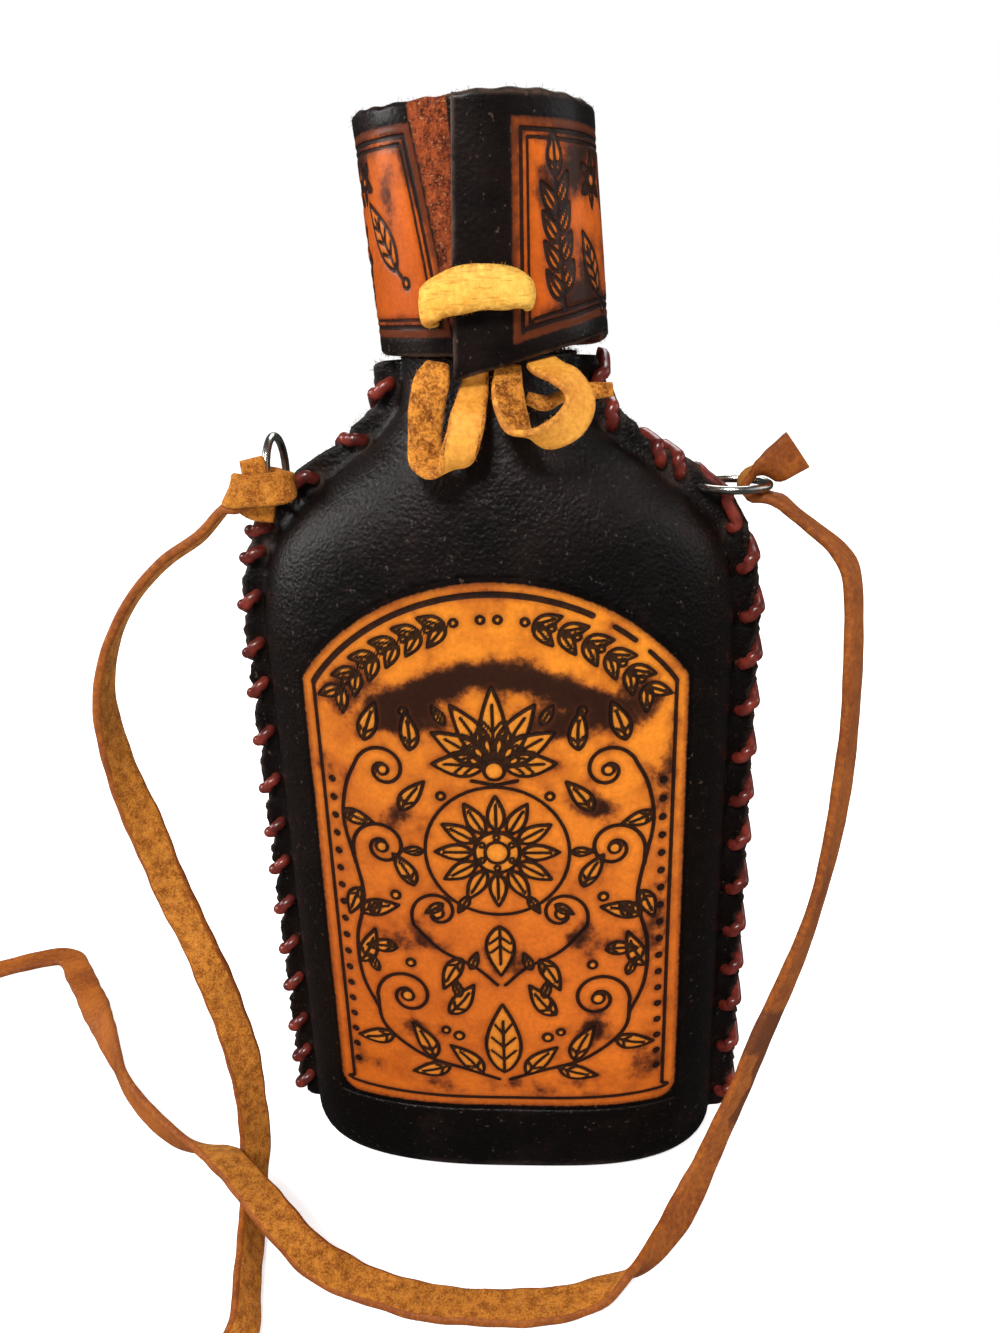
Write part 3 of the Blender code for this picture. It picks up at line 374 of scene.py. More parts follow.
def smooth_tan(name, light, deep, roughness=0.5, streaks=0.0):
    """Golden split leather with a soft grain, darker towards its edges."""
    paint = Paint(name)
    grain = paint.noise(0.0011, 6, 0.65)
    fine = paint.noise(0.0003, 3, 0.6)
    cloud = paint.noise(0.012, 4, 0.55)
    stain = paint.attribute("stain")
    lip = paint.attribute("lip")
    colour = paint.mix((grain * 0.6 + cloud * 0.6).between(0.42, 0.82), light, deep)
    colour = paint.mix(lip.between(0.55, 1.0) * grain.between(0.3, 0.6) * 0.5, colour, tone(120, 58, 20))
    colour = paint.mix((stain + (grain - 0.5) * 0.7).between(0.35, 0.8) * 0.8, colour, tone(92, 46, 20))
    colour = paint.tint(colour, fine.between(0.25, 0.75, 0.90, 1.08))
    fibres = paint.noise(0.0007, 5, 0.7, place=paint.stretched(0.10, 0.5, 1))
    colour = paint.mix(fibres.between(0.48, 0.66) * streaks, colour, tone(168, 96, 26))
    return paint.finish(
        Base_Color=colour, Roughness=roughness + grain * 0.2, Normal=paint.bump(grain + fine * 0.5, 0.00012),
        Specular_IOR_Level=0.25,
    )


def rough_tan(name, light, deep, size=0.00042, depth=0.00022):
    paint = Paint(name)
    colour, roughness, height = suede(paint, light, deep, size)
    stain = paint.attribute("stain")
    colour = paint.mix(stain.between(0.4, 0.6) * 0.6, colour, tone(120, 52, 26))
    return paint.finish(
        Base_Color=colour, Roughness=roughness, Normal=paint.bump(height, depth), Specular_IOR_Level=0.15,
        Sheen_Weight=0.18, Sheen_Roughness=0.5, Sheen_Tint=(*tone(240, 180, 90), 1.0),
    )


def waxed_lace():
    paint = Paint("waxed_lace")
    along = paint.noise(0.004, 4, 0.6)
    fine = paint.noise(0.0005, 4, 0.65)
    colour = paint.mix(along.between(0.35, 0.7), tone(78, 22, 17), tone(128, 46, 33))
    colour = paint.mix(fine.between(0.62, 0.8) * 0.5, colour, tone(44, 16, 13))
    return paint.finish(
        Base_Color=colour, Roughness=0.22 + fine * 0.16, Normal=paint.bump(along + fine * 0.5, 0.00012),
        Coat_Weight=0.3, Coat_Roughness=0.15,
    )


def plated_wire():
    paint = Paint("nickel_plating")
    scratch = paint.noise(0.0006, 5, 0.7, place=paint.stretched(1, 1, 4))
    worn = paint.noise(0.003, 3)
    colour = paint.mix(worn.between(0.4, 0.75), tone(214, 212, 204), tone(168, 160, 146))
    return paint.finish(
        Base_Color=colour, Metallic=1.0, Roughness=0.14 + scratch * 0.18, Normal=paint.bump(scratch, 0.00003),
    )


def bottle_glass():
    paint = Paint("bottle_glass")
    ripple = paint.noise(0.012, 2)
    colour = paint.mix(ripple, tone(232, 244, 238), tone(218, 236, 228))
    return paint.finish(
        Base_Color=colour, Roughness=0.02 + ripple * 0.03, Normal=paint.bump(ripple, 0.0003),
        Transmission_Weight=1.0, IOR=1.5,
    )


def spun_aluminium():
    paint = Paint("spun_aluminium")
    spin = paint.noise(0.0004, 4, 0.7, place=paint.stretched(0.15, 0.15, 1))
    dull = paint.noise(0.004, 3)
    colour = paint.mix(dull, tone(206, 206, 204), tone(178, 178, 176))
    return paint.finish(
        Base_Color=colour, Metallic=1.0, Roughness=0.28 + spin * 0.2, Normal=paint.bump(spin, 0.00003),
    )


def liner_foam():
    paint = Paint("liner_foam")
    pores = paint.cells(0.0004)
    colour = paint.mix(pores.between(0.1, 0.6), tone(206, 204, 192), tone(238, 236, 226))
    return paint.finish(Base_Color=colour, Roughness=0.8 + pores * 0.1, Normal=paint.bump(pores, 0.0001))


def fibre(name, light, deep):
    paint = Paint(name)
    pick = paint.noise(0.0012, 2)
    colour = paint.mix(pick.between(0.35, 0.65), deep, light)
    return paint.finish(Base_Color=colour, Roughness=0.75 + pick * 0.1)


# Meshes

def link(made):
    bpy.context.scene.collection.objects.link(made)
    return made


def seat(piece, body, slot, *solids):
    """Joins a finished piece to its body, and names the solids that it stands for. The slot is not used."""
    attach(piece, body)
    if solids:
        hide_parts(*solids)
    return piece


def grid_faces(rows, columns, flip=False, around=False):
    """Faces of a grid of points. With around, the last column joins the first."""
    faces = []
    last = columns if around else columns - 1
    for r in range(rows - 1):
        for c in range(last):
            d = (c + 1) % columns
            face = (r * columns + c, r * columns + d, (r + 1) * columns + d, (r + 1) * columns + c)
            faces.append(face[::-1] if flip else face)
    return faces


def mesh_piece(name, points, faces, materials, fields=None, slots=None, outward=False):
    """A piece from points in metres, its faces, its materials and fields of one value for each point."""
    mesh = bpy.data.meshes.new(name)
    mesh.from_pydata([tuple(p) for p in np.asarray(points, float).tolist()], [], faces)
    mesh.update()
    if outward:
        bm = bmesh.new()
        bm.from_mesh(mesh)
        bmesh.ops.recalc_face_normals(bm, faces=bm.faces)
        bm.to_mesh(mesh)
        bm.free()
    for label, values in (fields or {}).items():
        store = mesh.attributes.new(label, "FLOAT", "POINT")
        store.data.foreach_set("value", np.asarray(values, np.float32).ravel())
    for surface in materials:
        mesh.materials.append(surface)
    if slots is not None:
        mesh.polygons.foreach_set("material_index", np.asarray(slots, np.int32))
    mesh.shade_smooth()
    return link(bpy.data.objects.new(name, mesh))


def settled(made):
    """The piece with its modifiers made part of its mesh."""
    mesh = bpy.data.meshes.new_from_object(made.evaluated_get(bpy.context.evaluated_depsgraph_get()))
    made.modifiers.clear()
    made.data = mesh
    return made


class Recipe:
    """A Geometry Nodes tree with named inputs, built one step at a time."""

    def __init__(self, name, **sizes):
        self.tree = bpy.data.node_groups.new(name, "GeometryNodeTree")
        face = self.tree.interface
        face.new_socket("Source", in_out="INPUT", socket_type="NodeSocketGeometry")
        self.labels = {}
        kinds = {float: "NodeSocketFloat", int: "NodeSocketInt"}
        for label, value in sizes.items():
            socket = face.new_socket(label, in_out="INPUT", socket_type=kinds[type(value)])
            socket.default_value = value
            self.labels[label] = socket.identifier
        socket = face.new_socket("surface", in_out="INPUT", socket_type="NodeSocketMaterial")
        self.labels["surface"] = socket.identifier
        face.new_socket("Result", in_out="OUTPUT", socket_type="NodeSocketGeometry")
        self.given = self.tree.nodes.new("NodeGroupInput").outputs

    def step(self, kind, settings=None, inputs=None, output=0):
        node = self.tree.nodes.new(kind)
        for name, value in (settings or {}).items():
            setattr(node, name, value)
        for name, value in (inputs or {}).items():
            if isinstance(value, bpy.types.NodeSocket):
                self.tree.links.new(value, node.inputs[name])
            else:
                node.inputs[name].default_value = value
        return node.outputs[output]

    def sweep(self, curve, profile):
        return self.step(
            "GeometryNodeCurveToMesh", None, {"Curve": curve, "Profile Curve": profile, "Fill Caps": True},
        )

    def serve(self, geometry):
        """Ends the tree in plain faces with the given surface."""
        real = self.step("GeometryNodeRealizeInstances", None, {"Geometry": geometry})
        smooth = self.step("GeometryNodeSetShadeSmooth", None, {"Geometry": real})
        surface = self.given["surface"]
        done = self.step("GeometryNodeSetMaterial", None, {"Geometry": smooth, "Material": surface})
        self.tree.links.new(done, self.tree.nodes.new("NodeGroupOutput").inputs[0])
        return self

    def make(self, name, source, **sizes):
        """The piece that the recipe makes from a source object, which keeps its own mesh."""
        change = source.modifiers.new("make", "NODES")
        change.node_group = self.tree
        for label, value in sizes.items():
            change[self.labels[label]] = value
        held = source.evaluated_get(bpy.context.evaluated_depsgraph_get())
        mesh = bpy.data.meshes.new_from_object(held)
        source.modifiers.remove(change)
        mesh.name = name
        return link(bpy.data.objects.new(name, mesh))


def tube_recipe():
    """A round cord along a line of points, closed at its ends or joined into a ring."""
    recipe = Recipe("cord_along_line", radius=0.001, sides=12)
    line = recipe.step("GeometryNodeMeshToCurve", None, {"Mesh": recipe.given["Source"]})
    profile = recipe.step(
        "GeometryNodeCurvePrimitiveCircle", None,
        {"Resolution": recipe.given["sides"], "Radius": recipe.given["radius"]},
    )
    return recipe.serve(recipe.sweep(line, profile))


def nap_recipe():
    """Loose fibres that stand on a leather edge where its nap field says so."""
    recipe = Recipe("nap_on_edges", density=1000000.0, length=0.001, seed=1)
    nap = recipe.step("GeometryNodeInputNamedAttribute", {"data_type": "FLOAT"}, {"Name": "nap"})
    density = recipe.step("ShaderNodeMath", {"operation": "MULTIPLY"}, {0: nap, 1: recipe.given["density"]})
    scatter = recipe.tree.nodes.new("GeometryNodeDistributePointsOnFaces")
    recipe.tree.links.new(recipe.given["Source"], scatter.inputs["Mesh"])
    recipe.tree.links.new(density, scatter.inputs["Density"])
    recipe.tree.links.new(recipe.given["seed"], scatter.inputs["Seed"])
    bow = recipe.step(
        "GeometryNodeCurveQuadraticBezier", None,
        {"Resolution": 4, "Start": (0, 0, -0.15), "Middle": (0.05, 0, 0.55), "End": (0.38, 0.1, 0.9)},
    )
    section = recipe.step("GeometryNodeCurvePrimitiveCircle", None, {"Resolution": 3, "Radius": FIBRE_SHARE})
    hair = recipe.sweep(bow, section)
    lean = recipe.step(
        "FunctionNodeRandomValue", {"data_type": "FLOAT_VECTOR"},
        {0: (-0.9, -0.9, -3.14), 1: (0.9, 0.9, 3.14), "Seed": recipe.given["seed"]},
    )
    turn = recipe.step(
        "FunctionNodeRotateRotation", {"rotation_space": "LOCAL"}, {0: scatter.outputs["Rotation"], 1: lean},
    )
    share = recipe.step(
        "FunctionNodeRandomValue", {"data_type": "FLOAT"},
        {2: 0.35, 3: 1.0, "Seed": recipe.given["seed"]}, output=1,
    )
    size = recipe.step("ShaderNodeMath", {"operation": "MULTIPLY"}, {0: share, 1: recipe.given["length"]})
    standing = recipe.step(
        "GeometryNodeInstanceOnPoints", None,
        {"Points": scatter.outputs["Points"], "Instance": hair, "Rotation": turn, "Scale": size},
    )
    return recipe.serve(standing)


def line_object(points, loop=False):
    mesh = bpy.data.meshes.new("line")
    count = len(points)
    edges = [(i, i + 1) for i in range(count - 1)] + ([(count - 1, 0)] if loop else [])
    mesh.from_pydata([tuple(p) for p in points], edges, [])
    return link(bpy.data.objects.new("line", mesh))


def cord_piece(name, points, radius, sides, surface, recipe, loop=False):
    line = line_object(points, loop)
    made = recipe.make(name, line, radius=radius, sides=sides, surface=surface)
    bpy.data.objects.remove(line)
    return made


# The bottle's shape

def read_table(table, share):
    """Smooth reading of (position, value) rows, with level ends."""
    if share <= table[0][0]:
        return table[0][1]
    if share >= table[-1][0]:
        return table[-1][1]
    slopes = [(b[1] - a[1]) / (b[0] - a[0]) for a, b in zip(table, table[1:])]
    tangents = [slopes[0]]
    for before, after in zip(slopes, slopes[1:]):
        both = before * after
        tangents.append(2 * both / (before + after) if both > 0 else 0.0)
    tangents.append(0.0)
    for i, (a, b) in enumerate(zip(table, table[1:])):
        if share <= b[0]:
            span = b[0] - a[0]
            t = (share - a[0]) / span
            return (
                (2 * t**3 - 3 * t**2 + 1) * a[1] + (t**3 - 2 * t**2 + t) * span * tangents[i]
                + (3 * t**2 - 2 * t**3) * b[1] + (t**3 - t**2) * span * tangents[i + 1]
            )


def shoulder_share(height):
    return (height - SHOULDER_START) / (NECK_START - SHOULDER_START)


def glass_width(height):
    return NECK_RADIUS + (GLASS_WIDTH / 2 - NECK_RADIUS) * read_table(WIDTH_SHARE, shoulder_share(height))


def glass_depth(height):
    return NECK_RADIUS + (GLASS_DEPTH / 2 - NECK_RADIUS) * read_table(DEPTH_SHARE, shoulder_share(height))


def offset(profile, height, distance):
    """A profile's half width, grown by a distance square to its slope."""
    step = 0.0005
    slope = (profile(height + step) - profile(height - step)) / (2 * step)
    return profile(height) + distance * math.hypot(1.0, slope)


def corner_inset(radius, rise):
    """How far a rounded corner draws the wall in, at a rise above its foot."""
    if rise >= radius:
        return 0.0
    return radius - math.sqrt(max(0.0, radius**2 - (radius - rise)**2))


def squareness(height):
    share = min(1.0, max(0.0, shoulder_share(height)))
    return BODY_SQUARENESS + (2.0 - BODY_SQUARENESS) * share


def body_size(height, grown, foot=0.0):
    """Half width and half depth at a height, grown by a distance, with its foot rounded."""
    half_width = offset(glass_width, height, grown) - corner_inset(SIDE_CORNER + grown, height - foot)
    half_depth = offset(glass_depth, height, grown) - corner_inset(FRONT_CORNER + grown, height - foot)
    return half_width, half_depth


def oval(half_width, half_depth, square, height, count):
    turn = 2 * np.pi * np.arange(count) / count
    c, s = np.cos(turn), np.sin(turn)
    x = half_width * np.sign(c) * np.abs(c) ** (2 / square)
    y = half_depth * np.sign(s) * np.abs(s) ** (2 / square)
    return np.stack([x, y, np.full(count, height)], axis=1)


def build_bottle(surface, recipe):
    count = 96
    foot = LEATHER + FIT
    heights = [foot + SIDE_CORNER * (1 - math.cos(math.radians(a))) for a in range(0, 91, 15)]
    heights += list(np.arange(0.012, NECK_START, 0.002)) + [NECK_START]
    outer = [oval(*body_size(h, 0.0, foot), squareness(h), h, count) for h in heights]
    lip = [
        (NECK_RADIUS, FINISH_START - 0.0008), (FINISH_RADIUS + 0.0003, FINISH_START - 0.0002),
        (FINISH_RADIUS, FINISH_START + 0.0002), (FINISH_RADIUS, GLASS_TOP - 0.0008),
        (FINISH_RADIUS - 0.0002, GLASS_TOP - 0.0003), (FINISH_RADIUS - 0.0007, GLASS_TOP),
        (BORE_RADIUS + 0.0006, GLASS_TOP), (BORE_RADIUS + 0.0001, GLASS_TOP - 0.0004),
        (BORE_RADIUS, GLASS_TOP - 0.0012), (BORE_RADIUS, NECK_START + 0.004),
    ]
    outer += [oval(r, r, 2.0, h, count) for r, h in lip]
    bottom = foot + GLASS_FOOT
    inner = []
    levels = [*np.arange(NECK_START, bottom + 0.003, -0.003), bottom + 0.0012, bottom + 0.0003, bottom]
    for height in levels:
        half_width = offset(glass_width, height, -GLASS_WALL) - corner_inset(0.0015, height - bottom)
        half_depth = offset(glass_depth, height, -GLASS_WALL) - corner_inset(0.0015, height - bottom)
        inner.append(oval(half_width, half_depth, squareness(height), height, count))
    rings = outer + inner
    points = np.concatenate(rings)
    faces = grid_faces(len(rings), count, around=True)
    faces.append(tuple(range(count))[::-1])
    faces.append(tuple(range(len(points) - count, len(points))))
    bottle = mesh_piece("bottle", points, faces, [surface], outward=True)
    turns = np.linspace(0, 2 * math.pi * THREAD_TURNS, 150)
    rise = FINISH_START + 0.0035 + THREAD_PITCH * turns / (2 * math.pi)
    thread = [(FINISH_RADIUS * math.cos(a), FINISH_RADIUS * math.sin(a), h) for a, h in zip(turns, rise)]
    ridge = cord_piece("bottle_thread", thread, THREAD_HEIGHT, 12, surface, recipe)
    seat(bottle, "flask", "clear_glass", "glass_bottle")
    seat(ridge, "flask", "clear_glass")


# The laced edge

def flange_edge(height):
    """Half width over the laced flanges at a height."""
    width = offset(glass_width, height, FIT + LEATHER + FLANGE_WIDTH)
    return width - corner_inset(FLANGE_CORNER, height - FLANGE_BOTTOM)


class EdgeLine:
    """The laced edge from the top down, read by the distance along it."""

    def __init__(self):
        heights = np.linspace(FLANGE_TOP, FLANGE_BOTTOM, EDGE_STEPS + 1)
        self.spots = np.array([(flange_edge(h), h) for h in heights])
        steps = np.hypot(*np.diff(self.spots, axis=0).T)
        self.lengths = np.concatenate([[0.0], np.cumsum(steps)])

    def at_height(self, height):
        i = round((FLANGE_TOP - height) / (FLANGE_TOP - FLANGE_BOTTOM) * EDGE_STEPS)
        return float(self.lengths[min(EDGE_STEPS, max(0, i))])

    def point(self, distance):
        return np.array([np.interp(distance, self.lengths, self.spots[:, k]) for k in (0, 1)])

    def inward(self, distance):
        along = self.point(distance + 0.0015) - self.point(distance - 0.0015)
        along /= np.hypot(*along)
        return np.array([along[1], -along[0]])

    def spot(self, distance, depth, side, y):
        x, z = self.point(distance) + self.inward(distance) * depth
        return (side * float(x), y, float(z))


def ring_hole(edge, side):
    """The middle of the hole that a ring hangs in."""
    return edge.spot(edge.at_height(RING_EDGE_HEIGHT[side]), RING_DEPTH, side, 0.0)


def stitch_places(edge, side):
    """Distances along the edge of each hole and crossing, and how far the lace leads there."""
    x, _, z = ring_hole(edge, side)
    aim = RING_REST[side] + (-0.5 if side < 0 else 0.5) * RING_SWING
    off = np.abs(np.arctan2(edge.spots[:, 1] - z, edge.spots[:, 0] - abs(x)) - aim)
    at_ring = float(edge.lengths[int(np.argmin(off))])
    places = []
    for height in STITCHES[side]:
        middle = edge.at_height(height)
        places.append([middle + side * STITCH_SLANT / 2, middle - side * STITCH_SLANT / 2, LACE_LEAD])
    beyond = [row for row in places if (row[0] - at_ring) * side > 0]
    through = min(beyond, key=lambda row: abs(row[0] - at_ring))
    for row in places:
        short = RING_LACE_LEAD + 2 * LACE_RADIUS - abs(row[0] - at_ring)
        if short > 0:
            shift = math.copysign(short, row[0] - at_ring)
            row[0] += shift
            row[1] += shift
    through[1] = at_ring
    through[2] = RING_LACE_LEAD
    return places


def lacing_route(edge, side):
    """Centre line of one whip-stitched lace, drawn snug over the edge."""
    clear = LACE_RADIUS + 0.0001
    half = FLANGE_HALF
    lift = half + clear * 0.94
    places = stitch_places(edge, side)
    around = ((-1.0, LACE_SINK * 1.5, -lift), (-0.8, LACE_SINK - 0.4 * clear, -half - 0.6 * clear),
              (-0.35, LACE_SINK - 0.55 * clear, -half * 0.5), (0.35, LACE_SINK - 0.55 * clear, half * 0.5),
              (0.8, LACE_SINK - 0.4 * clear, half + 0.6 * clear), (1.0, LACE_SINK * 1.5, lift))
    order = places if side < 0 else places[::-1]
    points = []
    for k, (hole, over, reach) in enumerate(order):
        way = math.copysign(1.0, over - hole)
        points += [
            edge.spot(hole, STITCH_DEPTH, side, 0.0),
            edge.spot(hole, STITCH_DEPTH, side, -half),
            edge.spot(hole + way * 0.0003, STITCH_DEPTH - 0.0004, side, -half - clear * 0.62),
            edge.spot(hole + way * 0.0009, STITCH_DEPTH - clear, side, -lift),
        ]
        points += [edge.spot(over + way * reach * share, depth, side, y) for share, depth, y in around]
        if k + 1 < len(order):
            after = order[k + 1][0]
            points += [
                edge.spot(after - way * 0.0009, STITCH_DEPTH - clear, side, lift),
                edge.spot(after - way * 0.0003, STITCH_DEPTH - 0.0004, side, half + clear * 0.62),
                edge.spot(after, STITCH_DEPTH, side, half),
            ]
    return points


def curve_through(rows, count):
    """A smooth curve through rows of numbers, with a count of steps from each row to the next."""
    rows = np.asarray(rows, float)
    rows = np.vstack([2 * rows[0] - rows[1], rows, 2 * rows[-1] - rows[-2]])
    t = (np.arange(count) / count)[:, None]
    fine = []
    for p, q, r, s in zip(rows, rows[1:], rows[2:], rows[3:]):
        bend = 2 * p - 5 * q + 4 * r - s
        twist = 3 * q - p - 3 * r + s
        fine.append(0.5 * (2 * q + (r - p) * t + bend * t**2 + twist * t**3))
    return np.vstack([*fine, rows[-2:-1]])


def smooth_route(rows, spacing):
    """Rows of numbers at an even spacing on a smooth curve through the given rows, and its length."""
    fine = curve_through(rows, 24)
    lengths = np.concatenate([[0.0], np.cumsum(np.linalg.norm(np.diff(fine[:, :3], axis=0), axis=1))])
    steps = max(2, round(lengths[-1] / spacing))
    at = np.linspace(0, lengths[-1], steps + 1)
    return np.stack([np.interp(at, lengths, fine[:, k]) for k in range(fine.shape[1])], axis=1), lengths[-1]


# The leather cover

def flange_reach(height):
    """Half width of the laced edge where there is one, with its top corner eased."""
    if height <= FLANGE_BOTTOM or height >= FLANGE_TOP:
        return 0.0
    return flange_edge(height) - corner_inset(0.002, FLANGE_TOP - height)


def sag(x, z):
    """Small waves of hand-drawn leather, in metres, for a place in metres."""
    x, z = np.asarray(x) * 1000, np.asarray(z) * 1000
    wave = 0.16 * np.sin(0.071 * x + 0.043 * z + 0.6) * np.sin(0.052 * z - 0.031 * x + 1.1)
    wave = wave + 0.07 * np.sin(0.19 * x - 0.11 * z) * np.sin(0.13 * z + 2.0)
    return wave / 1000


class FrontShape:
    """Depth of the cover's face at any place on it."""

    def __init__(self):
        self.heights = np.arange(0.0, COVER_TOP + 0.0003, 0.00025)
        sizes = np.array([body_size(h, FIT + LEATHER) for h in self.heights])
        self.width, self.depth = sizes[:, 0], sizes[:, 1]
        self.square = np.array([squareness(h) for h in self.heights])

    def face(self, x, z):
        width, depth, square = (np.interp(z, self.heights, v) for v in (self.width, self.depth, self.square))
        share = np.clip(1 - (np.abs(x) / width) ** square, 0, 1)
        return -depth * share ** (1 / square) + sag(x, z)


def section(height):
    """Half of the cover's outline at a height, as x and y, from the left laced edge to the right one."""
    side_columns, face_columns = 9, 150
    width, depth = body_size(height, FIT + LEATHER)
    power = 2 / squareness(height)
    turn = np.linspace(math.pi, 2 * math.pi, 1201)
    c, s = np.cos(turn), np.sin(turn)
    x = width * np.sign(c) * np.abs(c) ** power
    y = -depth * np.abs(s) ** power
    reach = flange_reach(height)
    flanged = reach > width + 0.0002
    half = FLANGE_HALF if flanged else FIT / 2
    keep = y < -half
    x, y = x[keep], y[keep]
    end = reach if flanged else abs(x[0]) + 0.0001
    left = np.linspace(-end, x[0], side_columns + 1)[:-1]
    lengths = np.concatenate([[0.0], np.cumsum(np.hypot(np.diff(x), np.diff(y)))])
    at = np.linspace(0, lengths[-1], face_columns)
    body_x, body_y = np.interp(at, lengths, x), np.interp(at, lengths, y)
    xs = np.concatenate([left, body_x, -left[::-1]])
    ys = np.concatenate([np.full(side_columns, -half), body_y, np.full(side_columns, -half)])
    eased = np.stack([xs, ys], axis=1)
    ease = np.clip(1 - np.abs(np.arange(len(xs)) - side_columns) / 6, 0, 1)
    ease = np.maximum(ease, ease[::-1])[:, None]
    for _ in range(10):
        middle = (eased[:-2] + eased[2:]) / 2
        eased[1:-1] += (middle - eased[1:-1]) * ease[1:-1] * 0.8
    return eased


def cover_grid():
    """The front skin's plain points in rows from the middle of its foot up, and which rows have a flange."""
    foot_rows = 5
    corner = SIDE_CORNER + LEATHER
    heights = [0.0001 + corner * (1 - math.cos(math.radians(a))) for a in range(0, 91, 9)]
    heights += list(np.linspace(0.0078, 0.1772, 188)) + [0.1777, 0.1781, 0.1784, 0.1788, COVER_TOP]
    outline = [section(h) for h in heights]
    columns = len(outline[0])
    rows = []
    for k in range(foot_rows):
        base = outline[0].copy()
        base[:, 1] = -FIT / 2 + (base[:, 1] + FIT / 2) * k / foot_rows
        rows.append(np.column_stack([base[:, 0], base[:, 1], np.zeros(columns)]))
    rows += [np.column_stack([o, np.full(columns, h)]) for o, h in zip(outline, heights)]
    flanged = [0.0] * foot_rows + [float(flange_reach(h) > 0.001) for h in heights]
    return np.array(rows), np.array(flanged)[:, None]


def stitch_marks(edge, x, z):
    """How deep the stitches dent the skin at each place, how far they draw it in, and how they wear it."""
    dip, inset, wear = (np.zeros(x.shape) for _ in range(3))
    for side in (-1, 1):
        for hole, over, _ in stitch_places(edge, side):
            hx, _, hz = edge.spot(hole, STITCH_DEPTH, side, 0.0)
            cx, _, cz = edge.spot(over, 0.0006, side, 0.0)
            near = np.hypot(x - hx, z - hz)
            dip += 0.0005 * bell(near, 0.0017)
            pull = bell(np.hypot(x - cx, z - cz), 0.0021)
            dip += 0.00035 * pull
            inset += side * 0.0013 * pull
            wear += 0.55 * bell(near, 0.0026) * (1.5 if hz > 0.14 else 0.6)
    return dip, inset, wear


def in_panel(flat, faces):
    """Which faces of the front skin fall in the panel's opening."""
    x, y, z = flat.reshape(-1, 3)[np.array(faces)].mean(axis=1).T * 1000
    arch = ARCH_MIDDLE + np.sqrt(np.clip((ARCH_RADIUS + PANEL_CLEAR) ** 2 - x**2, 0, None))
    return (np.abs(x) < PANEL_HALF + PANEL_CLEAR) & (z > PANEL_LOW - PANEL_CLEAR) & (z < arch) & (y < -5)


def thicken(skin):
    """Gives a skin its wall on the inside, and keeps it from reaching into the table."""
    wall = skin.modifiers.new("wall", "SOLIDIFY")
    wall.thickness = LEATHER
    wall.offset = -1
    wall.use_even_offset = False
    wall.material_offset = 1
    wall.material_offset_rim = 0
    settled(skin)
    for vertex in skin.data.vertices:
        vertex.co.z = max(vertex.co.z, 0.0)
    return skin


def build_cover(dark, flesh, edge):
    """The front and the back skin, drawn in at each stitch. The front one is open where the panel sits."""
    flat, flanged = cover_grid()
    dip, inset, worn = stitch_marks(edge, flat[:, :, 0], flat[:, :, 2])
    for front, name in ((True, "cover_front"), (False, "cover_back")):
        points = flat.copy()
        x, z = points[:, :, 0], points[:, :, 2]
        from_edge = np.abs(np.abs(x[:, :1]) - np.abs(x))
        rim = bell(from_edge, 0.0009) * flanged
        wave = 0.00018 * np.sin(z * 2300 + np.sign(x)) + 0.00012 * np.sin(z * 5100 + 2 * np.sign(x))
        points[:, :, 0] -= inset + np.sign(x) * (rim * wave)
        inside = np.clip(-points[:, :, 1] / 0.006, 0, 1)
        points[:, :, 1] += np.minimum(dip, 0.0007) * (1 - inside * 0.6) + rim * 0.00035
        points[:, :, 1] += sag(x, z) * np.clip((-flat[:, :, 1] - 0.003) / 0.006, 0, 1) * (1 if front else 1.3)
        wear = worn + (rim * 0.55 + 0.5 * bell(z - 0.0022, 0.0022))
        nap = rim + 0.03 * wear + 1.6 * bell(z - COVER_TOP, 0.0004)
        places = points.reshape(-1, 3)
        faces = grid_faces(*flat.shape[:2])
        if front:
            faces = [f for f, gone in zip(faces, in_panel(flat, faces)) if not gone]
        else:
            places = places * (1, -1, 1)
            faces = [f[::-1] for f in faces]
        skin = thicken(mesh_piece(name, places, faces, [dark, flesh], {"wear": wear, "nap": nap}))
        yield seat(skin, "flask", "dark_leather", *(["leather_cover"] if front else []))


# Tooled designs

